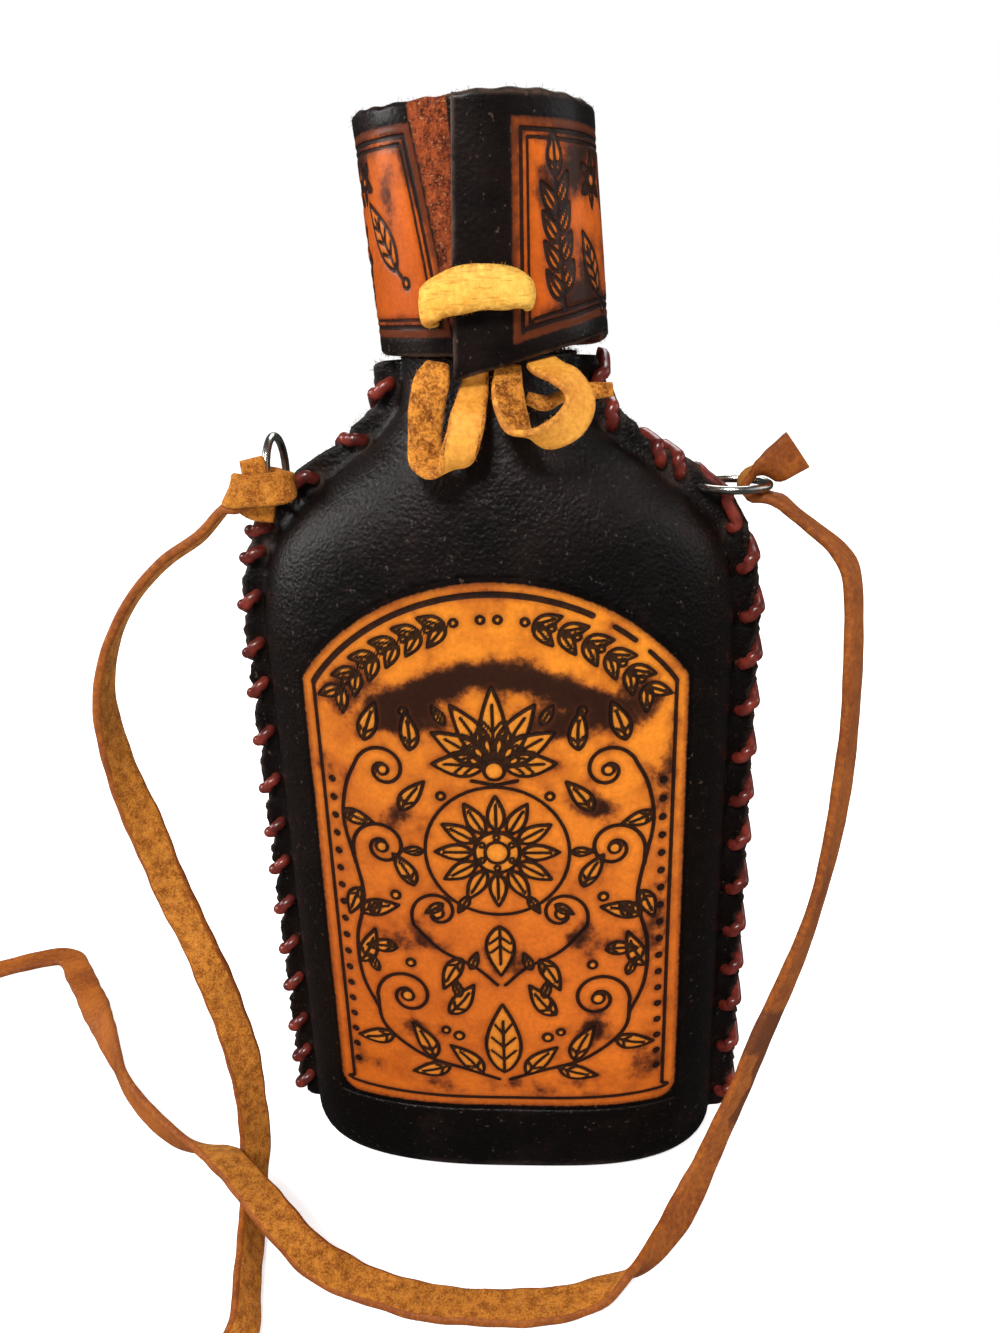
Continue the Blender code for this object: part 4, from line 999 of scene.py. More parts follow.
class Design:
    """Tool lines and raised shapes on flat leather, in millimetres."""

    def __init__(self):
        self.lines = []
        self.shapes = []

    def line(self, points, weight=1.0):
        self.lines.append((np.asarray(points, float), weight))

    def shape(self, points, weight=1.0):
        points = np.asarray(points, float)
        if np.hypot(*(points[0] - points[-1])) > 0.001:
            points = np.vstack([points, points[:1]])
        self.shapes.append(points)
        self.line(points, weight)

    def circle(self, x, z, radius, weight=1.0, raised=True):
        turn = np.linspace(0, 2 * math.pi, 49)
        ring = np.stack([x + radius * np.cos(turn), z + radius * np.sin(turn)], axis=1)
        if raised:
            self.shape(ring, weight)
        else:
            self.line(ring, weight)

    def leaf(self, x, z, angle, length, width, bend=0.0, veins=0, weight=1.0):
        """A pointed leaf from its foot, turned by an angle in degrees from straight up, with a midrib."""
        t = np.linspace(0, 1, 22)
        spread = width / 2 * np.sin(math.pi * t**0.8) ** 0.9 * (1 - 0.15 * t)
        lean = bend * t**2 * length
        a = math.radians(angle)
        across, up = np.array([math.cos(a), -math.sin(a)]), np.array([math.sin(a), math.cos(a)])
        middle = np.array([x, z]) + np.outer(t * length, up) + np.outer(lean, across)
        left, right = middle - np.outer(spread, across), middle + np.outer(spread, across)
        self.shape(np.vstack([left, right[::-1]]), weight)
        self.line(middle[1:17], weight * 0.7)
        for k in range(veins):
            at = 4 + k * 4
            for sign in (-1, 1):
                tip = middle[at + 3] + sign * across * spread[at + 3] * 0.72
                self.line(np.vstack([middle[at], tip]), weight * 0.55)

    def scroll(self, points, curl, turns, start, end, weight=1.0):
        """A stem through points that ends in a spiral about the curl's middle."""
        cx, cz = curl
        last = np.asarray(points[-1], float)
        begin = math.atan2(last[1] - cz, last[0] - cx)
        turn = np.linspace(0, turns * 2 * math.pi, 60)
        radius = start + (end - start) * (np.abs(turn) / abs(turns * 2 * math.pi)) ** 0.8
        spiral = np.stack([cx + radius * np.cos(begin + turn), cz + radius * np.sin(begin + turn)], axis=1)
        self.line(np.vstack([curve_through(points, LINE_STEPS), spiral]), weight)

    def mirror(self, other):
        """Takes in another design and its mirror image."""
        for sign in (1, -1):
            self.lines += [(p * (sign, 1), w) for p, w in other.lines]
            self.shapes += [p * (sign, 1) for p in other.shapes]

    def shift(self, other, x, z, angle):
        """Takes in another design, turned and moved."""
        a = math.radians(angle)
        turn = np.array([[math.cos(a), -math.sin(a)], [math.sin(a), math.cos(a)]])
        self.lines += [(p @ turn + (x, z), w) for p, w in other.lines]
        self.shapes += [p @ turn + (x, z) for p in other.shapes]

    def read(self, places):
        """For each place, the distance to the nearest tool line and the depth inside a raised shape."""
        cut = np.full(len(places), 9.0)
        for points, weight in self.lines:
            low, high = points.min(axis=0) - 5, points.max(axis=0) + 5
            near = np.flatnonzero(((places > low) & (places < high)).all(axis=1))
            if not len(near):
                continue
            best = np.full(len(near), 81.0)
            spots = places[near]
            for a, b in zip(points, points[1:]):
                d = b - a
                t = np.clip(((spots - a) @ d) / max(1e-9, d @ d), 0, 1)
                off = spots - a - t[:, None] * d
                best = np.minimum(best, (off * off).sum(axis=1))
            away = np.sqrt(best)
            cut[near] = np.minimum(cut[near], away + (1 - weight) * 0.16)
        inside = np.zeros(len(places), bool)
        for points in self.shapes:
            low, high = points.min(axis=0), points.max(axis=0)
            near = np.flatnonzero(((places > low) & (places < high)).all(axis=1))
            spots = places[near]
            within = np.zeros(len(near), bool)
            for a, b in zip(points, points[1:]):
                if a[1] == b[1]:
                    continue
                spans = (a[1] > spots[:, 1]) != (b[1] > spots[:, 1])
                crossing = a[0] + (spots[:, 1] - a[1]) / (b[1] - a[1]) * (b[0] - a[0])
                within ^= spans & (spots[:, 0] < crossing)
            inside[near] |= within
        return cut, inside


def panel_design():
    """Own design: a rosette between leafy scrolls, under a garland that follows the arch."""
    design = Design()
    inset = 2.2
    radius = ARCH_RADIUS - inset
    half = PANEL_HALF - inset
    turn = np.linspace(-math.asin(half / radius), math.asin(half / radius), 70)
    arch = np.stack([radius * np.sin(turn), ARCH_MIDDLE + radius * np.cos(turn)], axis=1)
    base = curve_through([(half - 0.6, PANEL_LOW + 4), (half - 2.2, PANEL_LOW + 2.4), (0, PANEL_LOW + 1.9),
                          (-half + 2.2, PANEL_LOW + 2.4), (-half + 0.6, PANEL_LOW + 4)], LINE_STEPS)
    design.line(arch[:52], 2.4)
    design.line(arch[55:60], 1.8)
    design.line(arch[62:], 1.4)
    design.line(np.vstack([arch[-1:], base, arch[:1]]), 1.1)
    for k in range(12):
        a = 2 * math.pi * k / 12
        design.leaf(8.0 * math.sin(a) * 0.62, 84 + 8.0 * math.cos(a) * 0.62, math.degrees(a), 7.6, 3.6)
    design.circle(0, 84, 4.6, 1.2)
    design.circle(0, 84, 2.4, 0.8)
    for k in range(6):
        a = 2 * math.pi * k / 6
        design.circle(3.5 * math.sin(a), 84 + 3.5 * math.cos(a), 0.55, 0.5, raised=False)
    design.circle(0, 84, 14.6, 0.9, raised=False)
    for angle, length in ((0, 15), (-26, 13.5), (26, 13.5), (-52, 12), (52, 12), (-80, 10), (80, 10)):
        a = math.radians(angle)
        x, z = 2.2 * math.sin(a), 102.5 + 2.2 * math.cos(a)
        design.leaf(x, z, angle, length, 5.2, 0.10 * np.sign(angle), veins=2)
    design.circle(0, 102.2, 2.0, 1.0)
    design.line([(-4.5, 100.0), (0, 99.0), (4.5, 100.0)], 1.2)
    design.leaf(0, 66.5, 180, 12, 6.2, veins=2)
    design.leaf(0, 29, 0, 18, 8.0, veins=3)
    half_side = Design()
    for stem, curl, turns, start, end, weight in (
        (((1.2, 27.0), (8, 29.5), (18, 33.0), (26.0, 40.0), (27.2, 48.0)), (20.4, 48.5), 1.35, 6.8, 1.4, 1.2),
        (((0.8, 52.0), (5.5, 56.5), (12.5, 60.5), (18.0, 66.5)), (12.8, 69.6), 1.0, 6.0, 1.6, 1.0),
        (((27.0, 44.0), (30.2, 52.0), (30.6, 62.0), (28.4, 72.0), (29.8, 82.0)), (23.6, 84.6),
         1.4, 6.6, 1.3, 1.2),
        (((29.6, 80.0), (31.4, 90.0), (30.2, 98.0), (27.4, 104.0)), (22.2, 102.0), 1.2, 5.6, 1.2, 1.1),
    ):
        half_side.scroll(stem, curl, turns, start, end, weight)
    for x, z, angle, length, width, bend in (
        (5, 28.6, 28, 9.5, 4.2, 0.25), (12, 30.6, 118, 8.5, 3.8, -0.2), (15.5, 32.4, 8, 9.5, 4.2, 0.3),
        (24.4, 38.0, 122, 8.0, 4.0, -0.3), (11.4, 44.6, -48, 9.0, 4.2, 0.2), (8.2, 58.4, 140, 8.5, 3.8, 0.2),
        (30.3, 56.0, -38, 9.0, 4.0, 0.25), (29.2, 68.5, -62, 8.5, 4.0, -0.2),
        (29.2, 74.0, 152, 7.0, 3.4, 0.1),
        (17.4, 76.0, 18, 8.0, 3.6, 0.2), (31.3, 92.0, -120, 6.6, 3.2, 0.2), (19.0, 93.2, -26, 8.0, 3.6, -0.2),
        (16.5, 106.5, -8, 8.0, 3.6, 0.2), (25.6, 108.2, -14, 8.4, 3.8, -0.1), (22.0, 60.5, 80, 6.4, 3.2, 0.2),
    ):
        half_side.leaf(x, z, angle, length, width, bend, veins=1)
    for x, z, r in (
        (20.4, 48.5, 1.3), (12.8, 69.6, 1.2), (23.6, 84.6, 1.2), (22.2, 102.0, 1.1), (9.6, 38.6, 1.0),
        (12.4, 40.0, 0.8), (21.4, 73.4, 0.9), (19.2, 57.0, 0.9), (10.8, 96.6, 0.8), (17.2, 114.6, 0.8),
    ):
        half_side.circle(x, z, r, 0.8)
    for k in range(7):
        a = math.radians(5 + k * 7.6)
        r = ARCH_RADIUS - 7.2
        x, z = r * math.sin(a), ARCH_MIDDLE + r * math.cos(a)
        if k:
            half_side.leaf(x, z, math.degrees(a) + 62, 5.4, 2.6, weight=0.8)
            half_side.leaf(x, z, math.degrees(a) + 128, 5.4, 2.6, weight=0.8)
        berry_x, berry_z = (r + 0.2) * math.sin(a - 0.045), ARCH_MIDDLE + (r + 0.2) * math.cos(a - 0.045)
        half_side.circle(berry_x, berry_z, 0.7, 0.7)
    for z in np.arange(29.0, 99.0, 4.1):
        half_side.circle(PANEL_HALF - 4.3, float(z), 0.5, 0.6, raised=False)
    for x, z, angle in ((12.0, 84.0, 90), (3.2, 73.6, 150), (8.6, 71.8, 122), (6.4, 112.0, 30),
                        (3.4, 56.0, -20), (6.0, 49.0, 12), (23.6, 54.0, 20), (24.0, 68.0, -30)):
        half_side.leaf(x + 3.0, z, angle, 4.4, 2.0, weight=0.7)
    design.mirror(half_side)
    return design


def panel_edge(x, z):
    """Distance inside the panel's dyed edge, in millimetres."""
    corner = 4.0
    side = PANEL_HALF - np.abs(x)
    low = z - PANEL_LOW
    arch = ARCH_RADIUS - np.hypot(x, np.maximum(z - ARCH_MIDDLE, 0))
    arch = np.where(z > ARCH_MIDDLE, arch, 99.0)
    inner = np.minimum(side, low)
    both = np.hypot(np.maximum(corner - side, 0), np.maximum(corner - low, 0))
    rounded = np.where((side < corner) & (low < corner), corner - both, inner)
    return np.minimum(rounded, arch)


def panel_burnish(x, z, cut, inside):
    """How dark the hollows are: a crescent under the arch, patches in the field and the rims of lines."""
    burnish = np.zeros(len(x))
    for px, pz, wide, high, strength in (
        (-27, 118, 7, 4, 0.6), (28, 116, 6, 5, 0.7), (-33, 100, 3, 9, 0.2), (33, 102, 3, 8, 0.6),
        (-15, 112, 7, 3, 0.8), (13, 112, 8, 3, 0.9), (-20, 92, 4, 3, 0.7), (20, 94, 5, 3, 0.8),
        (-32, 70, 3, 10, 0.1), (32, 66, 3, 11, 0.45), (-18, 63, 6, 4, 0.6), (18, 64, 6, 4, 0.7),
        (0, 59, 5, 4, 0.7), (-30, 30, 4, 4, 0.6), (30, 30, 4, 4, 0.7), (-12, 25, 12, 2.2, 0.45),
        (12, 25, 12, 2.2, 0.45), (-20, 40, 5, 4, 0.5), (20, 41, 5, 4, 0.6),
    ):
        burnish += strength * bell(x - px, wide) * bell(z - pz, high)
    above = z - ARCH_MIDDLE
    crescent = bell(np.hypot(x, above) - 27.5, 3.8) * np.clip((above - 15) / 6, 0, 1)
    close = np.clip(1 - cut / 3.0, 0, 1)
    return (np.minimum(burnish + 1.2 * crescent, 1.2) + 0.02 + 0.36 * close) * np.where(inside, 0.25, 1.0)


def build_panel(surface):
    """The tan tooled face, let into the cover's front skin, with a plainer back."""
    columns, rows, every = 193, 305, 8
    wide = PANEL_HALF + PANEL_TUCK
    x = np.linspace(-wide, wide, columns)[None, :].repeat(rows, axis=0)
    top = ARCH_MIDDLE + np.sqrt((ARCH_RADIUS + PANEL_TUCK) ** 2 - x**2)
    low = PANEL_LOW - PANEL_TUCK
    z = low + (top - low) * np.linspace(0, 1, rows)[:, None]
    x, z = x.ravel(), z.ravel()
    cut, inside = panel_design().read(np.stack([x, z], axis=1))
    edge = panel_edge(x, z)
    carve = -0.26 * bell(cut, 0.42) - 0.10 * bell(cut, 1.3) * ~inside
    lift = 0.20 * np.clip(cut / 1.3, 0, 1) * inside
    outer = np.clip(-edge - 0.5, 0, 2.1)
    relief = (carve + lift) * np.clip(edge / 2.0, 0, 1) - 0.12 * bell(edge - 0.9, 0.6) + 0.05 - 0.085 * outer
    fields = {
        "edge": edge, "cut": cut, "burnish": panel_burnish(x, z, cut, inside), "inside": inside.astype(float),
        "shade": np.clip((132 - z) / 70, 0, 1), "raw": np.zeros(len(x)), "wear": np.zeros(len(x)),
    }
    x, z = x / 1000, z / 1000
    shape = FrontShape()
    y = shape.face(x, z)
    step = 0.0004
    slope_x = (shape.face(x + step, z) - shape.face(x - step, z)) / (2 * step)
    slope_z = (shape.face(x, z + step) - shape.face(x, z - step)) / (2 * step)
    normal = np.stack([slope_x, -np.ones(len(y)), slope_z], axis=1)
    normal /= np.linalg.norm(normal, axis=1)[:, None]
    spots = np.stack([x, y, z], axis=1)
    index = np.arange(rows * columns).reshape(rows, columns)
    chosen = index[::every, ::every]
    back = rows * columns + np.arange(chosen.size).reshape(chosen.shape)
    front_points = spots + normal * relief[:, None] / 1000
    back_points = spots[chosen.ravel()] - normal[chosen.ravel()] * (LEATHER - 0.0001)
    faces = grid_faces(rows, columns)
    faces += [tuple(rows * columns + i for i in face) for face in grid_faces(*chosen.shape, flip=True)]
    for fine, coarse, forward in (
        (index[0], back[0], False), (index[-1], back[-1], True),
        (index[:, 0], back[:, 0], True), (index[:, -1], back[:, -1], False),
    ):
        for k in range(len(coarse) - 1):
            run, pair = fine[k * every:(k + 1) * every + 1], coarse[k:k + 2]
            faces.append((*run, *pair[::-1]) if forward else (*run[::-1], *pair))
    behind = {"raw": 1.0, "cut": 9.0}
    for label, values in fields.items():
        fields[label] = np.concatenate([values, np.full(chosen.size, behind.get(label, 0.0))])
    panel = mesh_piece("tooled_panel", np.vstack([front_points, back_points]), faces, [surface], fields)
    seat(panel, "flask", "dark_leather")


# The neck collar

def collar_angle(wound, height):
    """Angle round the neck from the front. The free end leans to the right towards its top."""
    up = (height - COLLAR_BOTTOM) / (COLLAR_TOP - COLLAR_BOTTOM)
    return UNDER_END - wound + COLLAR_SKEW * up * np.maximum(0.0, 1 - (COLLAR_TURN - wound) / 3.1) ** 1.4


def collar_place(wound, height, depth):
    """A point on the collar: wound is the angle from its under end, depth runs from 0 outside to 1 inside."""
    share = np.clip((wound - 0.65) / 2.75, 0, 1)
    ease = share * share * (3 - 2 * share)
    step = COLLAR_THICKNESS + FIT + 0.0001
    radius = COLLAR_RADIUS - step * (1 - ease) - COLLAR_THICKNESS * depth
    theta = collar_angle(wound, height)
    lean = COLLAR_SHIFT - COLLAR_LEAN * (height - COLLAR_BOTTOM)
    return np.stack([radius * np.sin(theta) + lean, -radius * np.cos(theta), height + 0 * theta], axis=-1)


def collar_foot(wound):
    """Height of the band's lower edge, which dips at its free end."""
    left = COLLAR_TURN - wound
    dip = COLLAR_DIP * np.maximum(0.0, 1 - left / 0.85) ** 1.3
    return COLLAR_BOTTOM - dip + 0.0026 * bell(left - 1.5, 0.55)


def collar_rim(wound):
    """Height of the band's upper edge."""
    return COLLAR_TOP + 0.0010 * bell(COLLAR_TURN - wound - 0.785, 0.45)


def sprig(height, pairs):
    """A stem with pairs of leaves and a bud."""
    made = Design()
    made.line([(0, -height / 2), (0.3, 0), (0, height / 2 - 4)], 1.0)
    for k in range(pairs):
        z = -height / 2 + 1.5 + k * (height - 8) / pairs
        made.leaf(0.2, z, 42, 5.6, 2.6, -0.15)
        made.leaf(0.2, z + 1.2, -42, 5.6, 2.6, 0.15)
    made.leaf(0, height / 2 - 5.5, 0, 6.5, 3.4, veins=1)
    return made


def blossom(radius, petals):
    made = Design()
    for k in range(petals):
        a = 360 * k / petals
        foot = radius * 0.3
        x, z = foot * math.sin(math.radians(a)), foot * math.cos(math.radians(a))
        made.leaf(x, z, a, radius * 0.72, radius * 0.42)
    made.circle(0, 0, radius * 0.28, 1.0)
    return made


def plume(length):
    made = Design()
    made.leaf(0, -length / 2, 0, length, length * 0.42, 0.05, veins=3)
    made.line([(0, -length / 2), (-0.6, -length / 2 - 2.2)], 1.1)
    made.circle(-0.8, -length / 2 - 3.0, 0.8, 0.8)
    return made


def collar_ends(height):
    """How far round the band its tan face starts and stops at a height, in millimetres."""
    up = (height - COLLAR_BOTTOM * 1000) / ((COLLAR_TOP - COLLAR_BOTTOM) * 1000)
    scale = COLLAR_RADIUS * 1000
    start = math.radians(32.5) * scale + 4.6 * np.clip(up, 0, 1) ** 1.2
    stop = (COLLAR_TURN - math.radians(27.0)) * scale
    return start, stop


def collar_design():
    """Border lines round the tan field, and sprigs, blossoms and plumes in it."""
    scale = COLLAR_RADIUS * 1000
    design = Design()
    top = COLLAR_TOP * 1000 - FIELD_TOP
    wound = np.linspace(math.radians(30), COLLAR_TURN - math.radians(26), 120)
    foot = collar_foot(wound) * 1000 + FIELD_LOW
    for inset, weight in ((1.7, 0.75), (2.9, 0.3)):
        heights = np.linspace(COLLAR_BOTTOM * 1000 + 3.4 + inset, top - inset, 12)
        start, stop = collar_ends(heights)
        begin = np.stack([start + inset, heights], axis=1)
        end = np.stack([stop + 0 * heights - inset, heights], axis=1)
        low_stop = float(np.interp(stop, wound * scale, foot)) + inset
        end[0, 1] = low_stop
        design.line(begin, weight)
        design.line(end, weight)
        along = wound * scale
        inner = (along > begin[0, 0]) & (along < stop - inset)
        low_line = np.stack([along[inner], foot[inner] + inset], axis=1)
        design.line(np.vstack([begin[:1], low_line, end[:1]]), weight)
        design.line([begin[-1], end[-1]], weight + 0.1)
    middle = COLLAR_BOTTOM * 1000 + 19.6
    total = COLLAR_TURN * scale
    begin = math.radians(33) * scale
    for motif, along, rise, angle in (
        (plume(13), total - 58.0, 0.4, -32), (blossom(4.4, 6), total - 72.0, 7, 20),
        (sprig(15, 2), total - 71.0, -7.5, 0), (blossom(8.2, 8), total - 84.0, 0, 0),
        (sprig(26, 4), total - 98.0, 0, -8), (blossom(6.4, 7), total - 110.0, -2, 0),
        (blossom(3.4, 5), total - 118.0, 9, 30), (sprig(26, 4), total - 19.6, 0.6, 4),
        (plume(11), total - 28.6, -5, 24), (blossom(4.2, 6), total - 30.0, 8, 0),
        (sprig(24, 3), total - 42.0, 0, -6), (plume(13), begin + 14.4, 0.2, 30),
        (blossom(3.6, 6), begin + 24.5, 7.5, 0), (sprig(15, 2), begin + 25.5, -7.0, -10),
    ):
        design.shift(motif, along, middle + rise, angle)
    return design


def collar_ring():
    """Shares of the height and of the thickness for each point of a cut across the band."""
    outside, inside = 90, 30
    shares = [*np.linspace(0.006, 0.994, outside), 1.0, 1.0, *np.linspace(0.994, 0.006, inside), 0.0, 0.0]
    depths = [0.16, *[0.0] * (outside - 2), 0.16, 0.35, 0.65, 0.84, *[1.0] * (inside - 2), 0.84, 0.65, 0.35]
    return np.array(shares), np.array(depths)


def collar_burnish(along, height, edge, low, within):
    """How dark the tan field is: scattered patches, and darker along its borders."""
    burnish = np.zeros(len(along))
    rng = np.random.default_rng(7)
    for _ in range(46):
        px, pz = rng.uniform(12, 137), rng.uniform(186, 214)
        wide, high = rng.uniform(1.5, 4.5), rng.uniform(2, 6)
        burnish += rng.uniform(0.4, 1.0) * bell(along - px, wide) * bell(height - pz, high)
    burnish += 0.7 * bell(height - low, 5.0) + 0.35 * bell(212.5 - height, 2.5)
    total = COLLAR_TURN * COLLAR_RADIUS * 1000
    burnish += 0.35 * bell(along - total + 34, 20) + 0.8 * bell(edge, 1.8)
    return np.minimum(burnish, 1.3) * np.where(within, 0.45, 1.0) * 0.9


def build_collar(surface):
    around = 361
    scale = COLLAR_RADIUS * 1000
    wound = np.linspace(0, COLLAR_TURN, around)
    foot = collar_foot(wound)
    top = collar_rim(wound) - 0.0002 + 0.00022 * np.sin(wound * 5.0) + 0.00012 * np.sin(wound * 23.0)
    shares, depths = collar_ring()
    count = len(shares)
    heights = foot[:, None] + (top - foot)[:, None] * shares
    flat = collar_place(wound[:, None] + 0 * heights, heights, depths).reshape(-1, 3)
    along = (wound * scale).repeat(count)
    height = heights.ravel() * 1000
    outer = np.tile(depths <= 0.5, around)
    cut, within = collar_design().read(np.stack([along, height], axis=1))
    start, stop = collar_ends(height)
    low = collar_foot(along / scale) * 1000 + FIELD_LOW
    field_top = COLLAR_TOP * 1000 - FIELD_TOP
    edge = np.minimum.reduce([along - start, stop - along, height - low, field_top - height])
    over_start = math.radians(31) * scale
    wedge = outer & (along > over_start - 3) & (along < start - 0.35) & (height > 183.5)
    cut = np.where(outer, cut, 9.0)
    edge = np.where(outer, edge, -5.0)
    field = np.clip(edge / 1.5, 0, 1)
    relief = (-0.22 * bell(cut, 0.42) + 0.12 * within * np.clip(cut / 1.1, 0, 1)) * field
    relief -= 0.10 * bell(edge - 0.2, 0.5)
    relief += np.where(wedge, -0.25 + 0.15 * np.sin(along * 2.1) * np.sin(height * 1.7), 0)
    ripple = 0.10 * np.sin(along * 0.16 + height * 0.11) + 0.05 * np.sin(along * 0.41 - height * 0.2)
    theta = collar_angle(along / scale, flat[:, 2])
    push = (np.where(outer, relief, 0.0) + ripple * 0.6) / 1000
    flat[:, 0] += push * np.sin(theta)
    flat[:, 1] -= push * np.cos(theta)
    end_edge = bell(np.minimum(along, COLLAR_TURN * scale - along), 0.8)
    rim = np.maximum(bell(height - COLLAR_TOP * 1000, 0.7), bell(height - low + FIELD_LOW, 0.7))
    fields = {
        "edge": edge, "cut": cut, "burnish": collar_burnish(along, height, edge, low, within),
        "inside": within.astype(float) * outer, "shade": np.clip((212 - height) / 40, 0, 1),
        "raw": (wedge | ~outer).astype(float), "wear": np.maximum(rim, end_edge) * 0.8,
        "nap": np.maximum(rim, 0.5 * end_edge) * np.where(outer, 1.0, 0.5) + 0.10 * wedge,
    }
    faces = grid_faces(around, count, around=True)
    faces.append(tuple(range(count)))
    faces.append(tuple(range(len(flat) - count, len(flat)))[::-1])
    collar = mesh_piece("collar_band", flat, faces, [surface], fields, outward=True)
    return seat(collar, "collar", "collar_leather", "neck_collar")


# Bands: thong, bow, knots and strap

def band_section(width, thickness, dome):
    """Places round a flat band with soft edges, across and through it. Its first face may be domed."""
    fine = 7
    corner = thickness * 0.36
    a, b = width / 2, thickness / 2
    flat = np.linspace(-a + corner, a - corner, fine)
    places = [(x, b) for x in flat[::-1]]
    for turn in (math.radians(v) for v in (115, 145, 180, 215, 245)):
        c, s = math.cos(turn), math.sin(turn)
        places.append((-a + corner + corner * c, s * b * 0.97))
    places += [(x, -b) for x in flat]
    places += [(-x, -y) for x, y in places[fine:fine + 5]]
    places = np.array(places)
    places[:, 1] += dome * (1 - (places[:, 0] / a) ** 2) * (places[:, 1] > 0)
    return places


def band_piece(name, rows, surfaces, thickness, spacing=0.0006, keep=(0, None), stain=None, dome=0.0,
               wobble=0.05, seed=0.0):
    """A flat leather band along rows of (x, y, z, width, across x, across y, across z), or a slice of it."""
    route, length = smooth_route(rows, spacing)
    centre = route[:, :3]
    along = np.gradient(centre, axis=0)
    along /= np.linalg.norm(along, axis=1)[:, None]
    across = route[:, 4:7] - along * (route[:, 4:7] * along).sum(axis=1)[:, None]
    across /= np.linalg.norm(across, axis=1)[:, None]
    face = np.cross(along, across)
    travel = np.linspace(0, length, len(route))
    rings, shares = [], []
    kept = range(len(route))[slice(*keep)]
    for k in kept:
        uneven = 0.03 * math.sin(travel[k] * 310 + seed) + 0.02 * math.sin(travel[k] * 820 + seed)
        width = route[k, 3] * (1 + uneven)
        places = band_section(width, thickness, dome)
        share = 2 * places[:, 0] / width
        cup = wobble * thickness * math.sin(travel[k] * 95 + seed) * (1 - share**2)
        rings.append(centre[k] + places[:, :1] * across[k] + (places[:, 1:] + cup[:, None]) * face[k])
        shares.append(share)
    points, shares = np.array(rings), np.array(shares)
    count, columns = shares.shape
    faces = grid_faces(count, columns, around=True)
    faces.append(tuple(range(columns)))
    faces.append(tuple(range(count * columns - columns, count * columns))[::-1])
    slots = ([0] * 12 + [1] * 6 + [0] * 6) * (count - 1) + [1, 1]
    stained = np.zeros(shares.shape) if stain is None else stain(travel[kept.start:kept.stop, None], shares)
    lips = np.abs(shares)
    fields = {"lip": lips, "stain": stained, "nap": np.clip((lips - 0.86) * 9, 0, 1)}
    return mesh_piece(name, points.reshape(-1, 3), faces, surfaces, fields, slots, outward=True)


def thong_spot(theta, radius, rise=0.0):
    lean = COLLAR_SHIFT - COLLAR_LEAN * (THONG_HEIGHT - COLLAR_BOTTOM)
    return (radius * math.sin(theta) + lean, -radius * math.cos(theta), THONG_HEIGHT + rise)


def thong_rows():
    """The thong's route out of one hole, over the free end and into the other."""
    outer = COLLAR_RADIUS + 0.0001 + THONG_THICKNESS / 2
    inner = COLLAR_RADIUS - 2 * COLLAR_THICKNESS - 0.0014
    bend = THONG_THICKNESS / COLLAR_RADIUS
    full = THONG_ANGLE * 0.9
    rows = []
    for side, drop in ((-1, THONG_DROP), (1, 0.0)):
        places = [
            (full, inner, -drop),
            (full, COLLAR_RADIUS - 0.0022, -drop),
            (full, COLLAR_RADIUS - 0.0004, -drop),
            (full - bend * 0.55, outer + 0.0003, 0.0003 - drop * 0.9),
            (full * 0.62, outer + 0.0006, 0.0010 - drop * 0.5),
        ]
        slim = 0.86 if side < 0 else 0.76
        for theta, radius, rise in (places if side < 0 else reversed(places)):
            width = THONG_WIDTH * (0.94 if theta < full * 0.7 else slim)
            rows.append((*thong_spot(side * theta, radius, rise), width, 0.0, 0.0, 1.0))
        if side < 0:
            rows.append((*thong_spot(0.0, outer + 0.0009, 0.0013), THONG_WIDTH, 0.0, 0.0, 1.0))
    return rows


